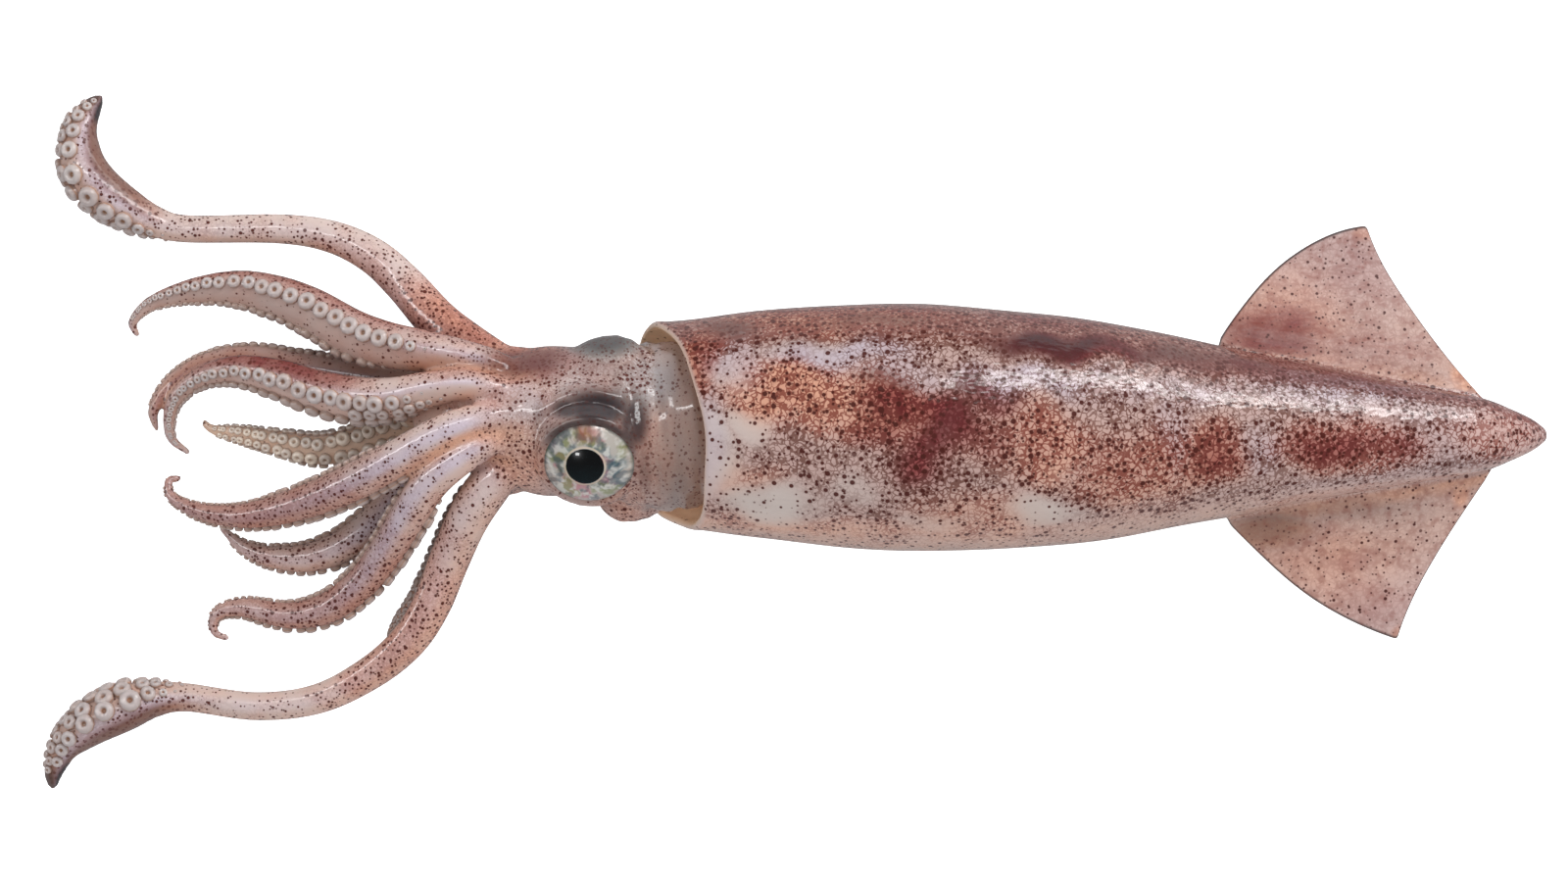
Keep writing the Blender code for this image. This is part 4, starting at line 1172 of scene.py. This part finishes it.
def pigment_group():
    """The skin's pigment: big and small dark dots, a red-brown net and, on fine skin, red flecks."""
    tree, given = group("pigment", (
        ("Place", "NodeSocketVector", None), ("Density", "NodeSocketFloat", 0.5),
        ("Size", "NodeSocketFloat", 1.0), ("Fine", "NodeSocketFloat", 0.0),
    ), [(name, "NodeSocketFloat") for name in ("Dots", "Flecks", "Net")])
    density = given["Density"]
    sized = node(tree, "ShaderNodeVectorMath", {
        0: given["Place"], "Scale": maths(tree, "DIVIDE", 1.0, given["Size"]),
    }, operation="SCALE").outputs[0]
    coarse = fit(tree, given["Fine"], 0.0, 0.7, 1.0, 0.0)
    size = fit(tree, density, 0.1, 0.9, 0.8, 1.14)
    size = times(tree, size, fit(tree, coarse, 0.0, 1.0, 0.62, 1.0))
    often = fit(tree, density, 0.1, 0.75, 0.15, 1.15)
    often = times(tree, often, fit(tree, coarse, 0.0, 1.0, 0.7, 1.0))
    big, halo = dot_layer(tree, sized, often, 1.7, 0.27, 0.54, size)
    small = dot_layer(tree, sized, fit(tree, density, 0.0, 0.7, 0.2, 0.95), 1.15, 0.2, 0.37, size)[0]
    dots = maths(tree, "MAXIMUM", big, small)
    shift = node(tree, "ShaderNodeVectorMath", {
        0: cloud(tree, sized, 1.0, 0.0).outputs["Color"], 1: (1.3, 1.3, 1.3), 2: sized,
    }, operation="MULTIPLY_ADD").outputs[0]
    strand = node(tree, "ShaderNodeTexVoronoi", {"Vector": shift, "Scale": 1.0 / 1.15, "Randomness": 1.0},
                  feature="DISTANCE_TO_EDGE").outputs["Distance"]
    patchy = cloud(tree, sized, 1.9, 1.5).outputs["Fac"]
    thick = fit(tree, density, 0.25, 1.0, 0.03, 0.19)
    thick = times(tree, thick, fit(tree, patchy, 0.36, 0.6, 0.55, 1.2))
    line = fit(tree, strand, maths(tree, "ADD", thick, 0.05), maths(tree, "SUBTRACT", thick, 0.03))
    net = times(tree, line, fit(tree, density, 0.2, 0.7))
    net = maths(tree, "MAXIMUM", net, times(tree, halo, fit(tree, density, 0.3, 1.0, 0.15, 0.7)))
    net = times(tree, net, fit(tree, coarse, 0.0, 1.0, 0.3, 1.0))
    fleck = times(tree, fit(tree, patchy, 0.5, 0.7), given["Fine"])
    node(tree, "NodeGroupOutput", {"Dots": dots, "Flecks": fleck, "Net": net})
    return tree


# Skin colours: bare flesh and what each tint turns it to
FLESH = (0.57, 0.385, 0.34)
PALE_FLESH = (0.67, 0.555, 0.495)
WARM_FLESH = (0.84, 0.45, 0.30)
FLUSHED = (0.28, 0.034, 0.034)
# Lilac of the skin, also used as a painted sheen
COOL_FLESH = (0.60, 0.50, 0.55)
GLASSY_FLESH = (0.42, 0.425, 0.40)
# Dark tone of the skin, also used for painted shade
SHADED = (0.026, 0.021, 0.024)
# Tan of the mantle's inner wall, lightened as painted light, with a faint glow that stands in for light
# through the thin wall
LINING = (0.86, 0.58, 0.37)
DOT_BROWN = (0.082, 0.012, 0.007)
NET_RED = (0.25, 0.048, 0.028)
NET_MAROON = (0.10, 0.010, 0.011)
NET_BROWN = (0.15, 0.055, 0.036)
# Tints of the points that colour the flesh
SKIN_TINTS = ("flush", "warm", "cool", "glass", "shade", "pale", "lining")
SPOT_SOFTNESS = 0.12


def flesh_group():
    """Skin colour from the tints, under its pigment."""
    names = [tint.capitalize() for tint in SKIN_TINTS] + ["Dots", "Flecks", "Net"]
    inputs = [("Place", "NodeSocketVector", None)] + [(name, "NodeSocketFloat", 0.0) for name in names]
    tree, given = group("flesh", inputs, (("Colour", "NodeSocketColor"), ("Wetness", "NodeSocketFloat")))
    mottle = cloud(tree, given["Place"], 5.0, 3.0).outputs["Fac"]
    veil = fit(tree, mottle, 0.3, 0.7, 0.75, 1.2)
    colour = blended(tree, given["Pale"], FLESH, PALE_FLESH)
    warm, cool, flush = [
        maths(tree, "MULTIPLY", given[name], veil, clamp=True) for name in ("Warm", "Cool", "Flush")
    ]
    colour = blended(tree, warm, colour, WARM_FLESH)
    colour = blended(tree, cool, colour, COOL_FLESH)
    colour = blended(tree, given["Glass"], colour, GLASSY_FLESH)
    colour = blended(tree, times(tree, flush, 0.9), colour, FLUSHED)
    colour = blended(tree, given["Shade"], colour, SHADED)
    colour = blended(tree, given["Lining"], colour, LINING)
    net = times(tree, given["Net"], fit(tree, given["Pale"], 0.0, 0.8, 0.85, 0.4))
    net = times(tree, net, fit(tree, given["Shade"], 0.1, 1.0, 1.0, 0.1))
    strands = blended(tree, fit(tree, given["Warm"], 0.0, 0.5), NET_BROWN, NET_RED)
    strands = blended(tree, flush, strands, NET_MAROON)
    colour = blended(tree, net, colour, strands)
    colour = blended(tree, times(tree, given["Flecks"], 0.5), colour, NET_RED)
    dots = times(tree, given["Dots"], fit(tree, given["Shade"], 0.1, 1.0, 0.95, 0.3))
    colour = blended(tree, dots, colour, DOT_BROWN)
    dry = times(tree, given["Dots"], 0.1)
    wet = fit(tree, mottle, 0.3, 0.7, 0.09, 0.18)
    node(tree, "NodeGroupOutput", {"Colour": colour, "Wetness": maths(tree, "ADD", wet, dry)})
    return tree


def grain_group():
    """Height of the wet skin: small long cobbles on broad hills."""
    tree, given = group("wet_grain", (
        ("Place", "NodeSocketVector", None), ("Cobble", "NodeSocketFloat", 1.7),
    ), (("Height", "NodeSocketFloat"),))
    across = maths(tree, "DIVIDE", 1.0, given["Cobble"])
    squeeze = node(tree, "ShaderNodeCombineXYZ", {
        "X": times(tree, across, 0.5), "Y": across, "Z": across,
    }).outputs[0]
    sized = node(tree, "ShaderNodeVectorMath", {
        0: given["Place"], 1: squeeze,
    }, operation="MULTIPLY").outputs[0]
    hill = cloud(tree, sized, 1.0, 1.0).outputs["Fac"]
    broad = cloud(tree, given["Place"], 6.0, 1.0).outputs["Fac"]
    height = maths(tree, "ADD", hill, times(tree, broad, 1.6))
    node(tree, "NodeGroupOutput", {"Height": height})
    return tree


def new_material(name):
    """A new material, its node tree and its Principled shader."""
    material = bpy.data.materials.new(name)
    material.use_nodes = True
    tree = material.node_tree
    return material, tree, tree.nodes["Principled BSDF"]


def skin_material(name, groups, dot_size, net_share, cobble, relief, spots=()):
    """Wet skin that shows the tints painted on its points, and single large dots."""
    material, tree, shader = new_material(name)
    where = place_mm(tree)
    dry = value_of(tree, "dry")
    pigment = node(tree, "ShaderNodeGroup", {
        "Place": where, "Density": value_of(tree, "dots"), "Size": dot_size, "Fine": dry,
    }, node_tree=groups["pigment"])
    dots = pigment.outputs["Dots"]
    for place, radius in spots:
        away = node(tree, "ShaderNodeVectorMath", {0: where, 1: place}, operation="DISTANCE").outputs["Value"]
        dots = maths(tree, "MAXIMUM", dots, fit(tree, away, radius + SPOT_SOFTNESS, radius - SPOT_SOFTNESS))
    painted = {tint.capitalize(): value_of(tree, tint) for tint in SKIN_TINTS}
    flesh = node(tree, "ShaderNodeGroup", {
        "Place": where, **painted, "Dots": dots, "Flecks": pigment.outputs["Flecks"],
        "Net": times(tree, pigment.outputs["Net"], net_share),
    }, node_tree=groups["flesh"])
    grain = node(tree, "ShaderNodeGroup", {"Place": where, "Cobble": cobble}, node_tree=groups["grain"])
    bump = node(tree, "ShaderNodeBump", {
        "Height": grain.outputs["Height"], "Strength": 1.0, "Distance": relief * MM,
    })
    feed(tree, shader, {
        "Base Color": flesh.outputs["Colour"],
        "Roughness": maths(tree, "MULTIPLY_ADD", dry, 0.3, flesh.outputs["Wetness"]),
        "Normal": bump.outputs["Normal"],
        "Specular IOR Level": fit(tree, dry, 0.0, 1.0, 0.62, 0.35),
        # Painted light: a faint glow in the lining colour where the lining tint lies
        "Emission Color": LINING,
        "Emission Strength": times(tree, painted["Lining"], 0.07),
    })
    return material


def sucker_material():
    """Pearly suckers: a pale rim, an amber hole and a flesh-coloured stalk."""
    material, tree, shader = new_material("sucker_pearl")
    tint = value_of(tree, "cup")
    tone = value_of(tree, "tone")
    hole = node(tree, "ShaderNodeValToRGB", {"Fac": tint})
    stops = hole.color_ramp.elements
    stops[0].color = (0.38, 0.24, 0.19, 1.0)
    stops[1].position = 0.85
    stops[1].color = (0.52, 0.45, 0.43, 1.0)
    stops.new(0.3).color = (0.40, 0.27, 0.23, 1.0)
    stops.new(0.45).color = (0.38, 0.17, 0.07, 1.0)
    stops.new(0.6).color = (0.46, 0.34, 0.30, 1.0)
    brown = fit(tree, tone, 0.0, 1.0, 0.0, 0.8)
    colour = blended(tree, brown, hole.outputs["Color"], (0.45, 0.31, 0.25))
    # Creamy, much lighter suckers where the tone is below nought: their own cream, and painted light that
    # lifts the arm under the others out of its shade
    cream = times(tree, fit(tree, tone, 0.0, -1.0), fit(tree, tint, 0.2, 0.8, 0.3, 0.9))
    colour = blended(tree, cream, colour, (0.92, 0.76, 0.60))
    feed(tree, shader, {"Base Color": colour, "Roughness": 0.3, "Coat Weight": 0.6, "Coat Roughness": 0.1})
    return material


def eye_material():
    """A silvery iris with patches of many colours, a pale gold ring and a black pupil."""
    material, tree, shader = new_material("eye_silver")
    apart = value_of(tree, "apart")
    up_eye = value_of(tree, "up_eye")
    where = node(tree, "ShaderNodeCombineXYZ", {"X": value_of(tree, "across_eye"), "Y": up_eye}).outputs[0]
    coarse, fine = [cloud(tree, where, 1.0 / scale, 2.0).outputs for scale in (2.3, 4.6)]
    broad, small = [
        node(tree, "ShaderNodeSeparateColor", {"Color": random["Color"]}).outputs for random in (coarse, fine)
    ]
    iris = (0.55, 0.50, 0.44)
    for value, low, high, share, tint in (
        (broad[0], 0.46, 0.57, 0.9, (0.13, 0.22, 0.26)),
        (broad[1], 0.50, 0.60, 0.75, (0.58, 0.20, 0.24)),
        (broad[2], 0.50, 0.60, 0.75, (0.25, 0.28, 0.09)),
        (small[0], 0.48, 0.6, 0.8, (0.78, 0.75, 0.68)),
        (small[1], 0.52, 0.64, 0.7, (0.07, 0.10, 0.12)),
    ):
        iris = blended(tree, fit(tree, value, low, high, 0.0, share), iris, tint)
    rust = fit(tree, up_eye, 0.5, 0.72)
    rust = times(tree, rust, fit(tree, coarse["Fac"], 0.4, 0.5))
    iris = blended(tree, times(tree, rust, 0.6), iris, (0.46, 0.13, 0.07))
    edge = fit(tree, value_of(tree, "outer"), 60.0, 66.0)
    iris = blended(tree, times(tree, edge, 0.75), iris, (0.05, 0.07, 0.06))
    ring = times(tree, fit(tree, apart, 26.8, 27.8), fit(tree, apart, 30.4, 29.0))
    iris = blended(tree, times(tree, ring, 0.9), iris, (0.72, 0.58, 0.44))
    pupil = fit(tree, apart, 27.2, 26.2)
    # The pupil's black, with a painted dark teal reflection in its lower part
    depth = blended(tree, fit(tree, up_eye, 0.1, -0.45), (0.001, 0.0015, 0.002), (0.003, 0.010, 0.012))
    feed(tree, shader, {
        "Base Color": blended(tree, pupil, iris, depth), "Metallic": fit(tree, apart, 26.0, 29.0, 0.0, 0.25),
        "Roughness": 0.22, "Coat Weight": 1.0, "Coat Roughness": 0.03,
    })
    return material


# --- table, light and camera ---------------------------------------------------------------


def build_table():
    """A plain pale table, at the height the squid rests on."""
    bm = bmesh.new()
    bmesh.ops.create_grid(bm, x_segments=1, y_segments=1, size=2.5)
    mesh = bpy.data.meshes.new("table")
    bm.to_mesh(mesh)
    bm.free()
    table = in_scene("table", mesh)
    material, tree, shader = new_material("table_white")
    seen = node(tree, "ShaderNodeLightPath").outputs["Is Camera Ray"]
    feed(tree, shader, {
        "Base Color": (0.52, 0.52, 0.52), "Roughness": 0.9, "Specular IOR Level": 0.1,
        "Emission Color": (1.0, 1.0, 1.0), "Emission Strength": times(tree, seen, 1.2),
    })
    mesh.materials.append(material)


def soft_light(name, place, aim, size, power, along, only=()):
    """A rectangular soft light at a place in metres that points at another, its long side along.

    It shines on every piece, or on some pieces as a glint alone.
    """
    data = bpy.data.lights.new(name, "AREA")
    data.shape = "RECTANGLE"
    data.size, data.size_y = size
    data.energy = power
    light = in_scene(name, data)
    light.location = place
    back = (Vector(place) - Vector(aim)).normalized()
    side = (Vector(along) - back * Vector(along).dot(back)).normalized()
    light.rotation_euler = Matrix((side, back.cross(side), back)).transposed().to_euler()
    light.visible_camera = False
    if only:
        shone_on = bpy.data.collections.new(name + "_pieces")
        for piece in only:
            shone_on.objects.link(piece)
        light.light_linking.receiver_collection = shone_on
        light.visible_diffuse = False


def light_and_camera(wet_limbs, eyeballs):
    """Soft studio light from the far side and above, glints on limbs and eyes, a camera above."""
    scene = bpy.context.scene
    world = bpy.data.worlds.new("studio")
    world.use_nodes = True
    tree = world.node_tree
    sky = tree.nodes["Background"]
    mirrored = node(tree, "ShaderNodeLightPath").outputs["Is Glossy Ray"]
    feed(tree, sky, {"Color": (0.94, 0.96, 1.0), "Strength": fit(tree, mirrored, 0.0, 1.0, 0.87, 0.08)})
    world.cycles.sampling_method = "NONE"
    scene.world = world
    soft_light("strip_front", (0.34, 0.50, 0.52), (0.03, 0.0, 0.03), (0.55, 0.14), 1.6, (0.90, 0.43, 0.0))
    soft_light("strip_tail", (0.85, 1.05, 0.52), (0.12, 0.0, 0.03), (0.95, 0.17), 1.4, (0.5, 0.86, 0.0))
    soft_light("ridge_glint", (-0.85, 0.27, 0.7), (-0.1, 0.0, 0.02), (1.7, 0.09), 5.0,
               (1.0, 0.0, 0.0), wet_limbs)
    soft_light("eye_glint", (-0.262, -0.245, 0.544), (-0.048, -0.003, 0.039), (0.07, 0.05), 0.16,
               (1.0, 0.0, 0.0), eyeballs)
    data = bpy.data.cameras.new("camera")
    data.lens = 100.0
    data.sensor_width = 36.0
    data.clip_start = 0.05
    scene.camera = in_scene("camera", data)
    scene.camera.location = (-0.0023, 0.0003, 1.0)
    scene.view_settings.view_transform = "Standard"


# --- the squid -----------------------------------------------------------------------------


def main():
    """Build every piece, give it its finish and tie it to the body it belongs to."""
    groups = {"pigment": pigment_group(), "flesh": flesh_group(), "grain": grain_group()}
    mantle = build_mantle_skin()
    spots = []
    for x, arc, radius in MANTLE_SPOTS:
        spots.append((tuple(mantle_points(x, np.array(arc / half_width(x)))), radius))
    mantle.data.materials.append(skin_material("mantle_wet", groups, 1.14, 1.0, 1.5, 0.17, spots))
    head, head_points, head_faces = build_head_skin()
    head.data.materials.append(skin_material("head_wet", groups, 0.86, 0.5, 1.4, 0.06))
    shape = cup("sucker", 10, CUP_PROFILE)
    seats = sucker_seats(head_points, head_faces)
    suckers = build_suckers("suckers", seats, shape, sucker_material(), scatter_tree())
    bpy.data.objects.remove(shape)
    eye_finish = eye_material()
    pieces = [(mantle, "mantle", "mantle"), (head, "head_arms", "head_arms")]
    for name in EYES:
        eyeball = build_eyeball(name)
        eyeball.data.materials.append(eye_finish)
        pieces.append((eyeball, name, "eye"))
    for piece, cad_node, finish_slot in pieces:
        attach(piece, "root")
        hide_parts(cad_node)
    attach(suckers, "root")
    build_table()
    light_and_camera((head, suckers), [piece for piece, _, finish_slot in pieces if finish_slot == "eye"])


main()
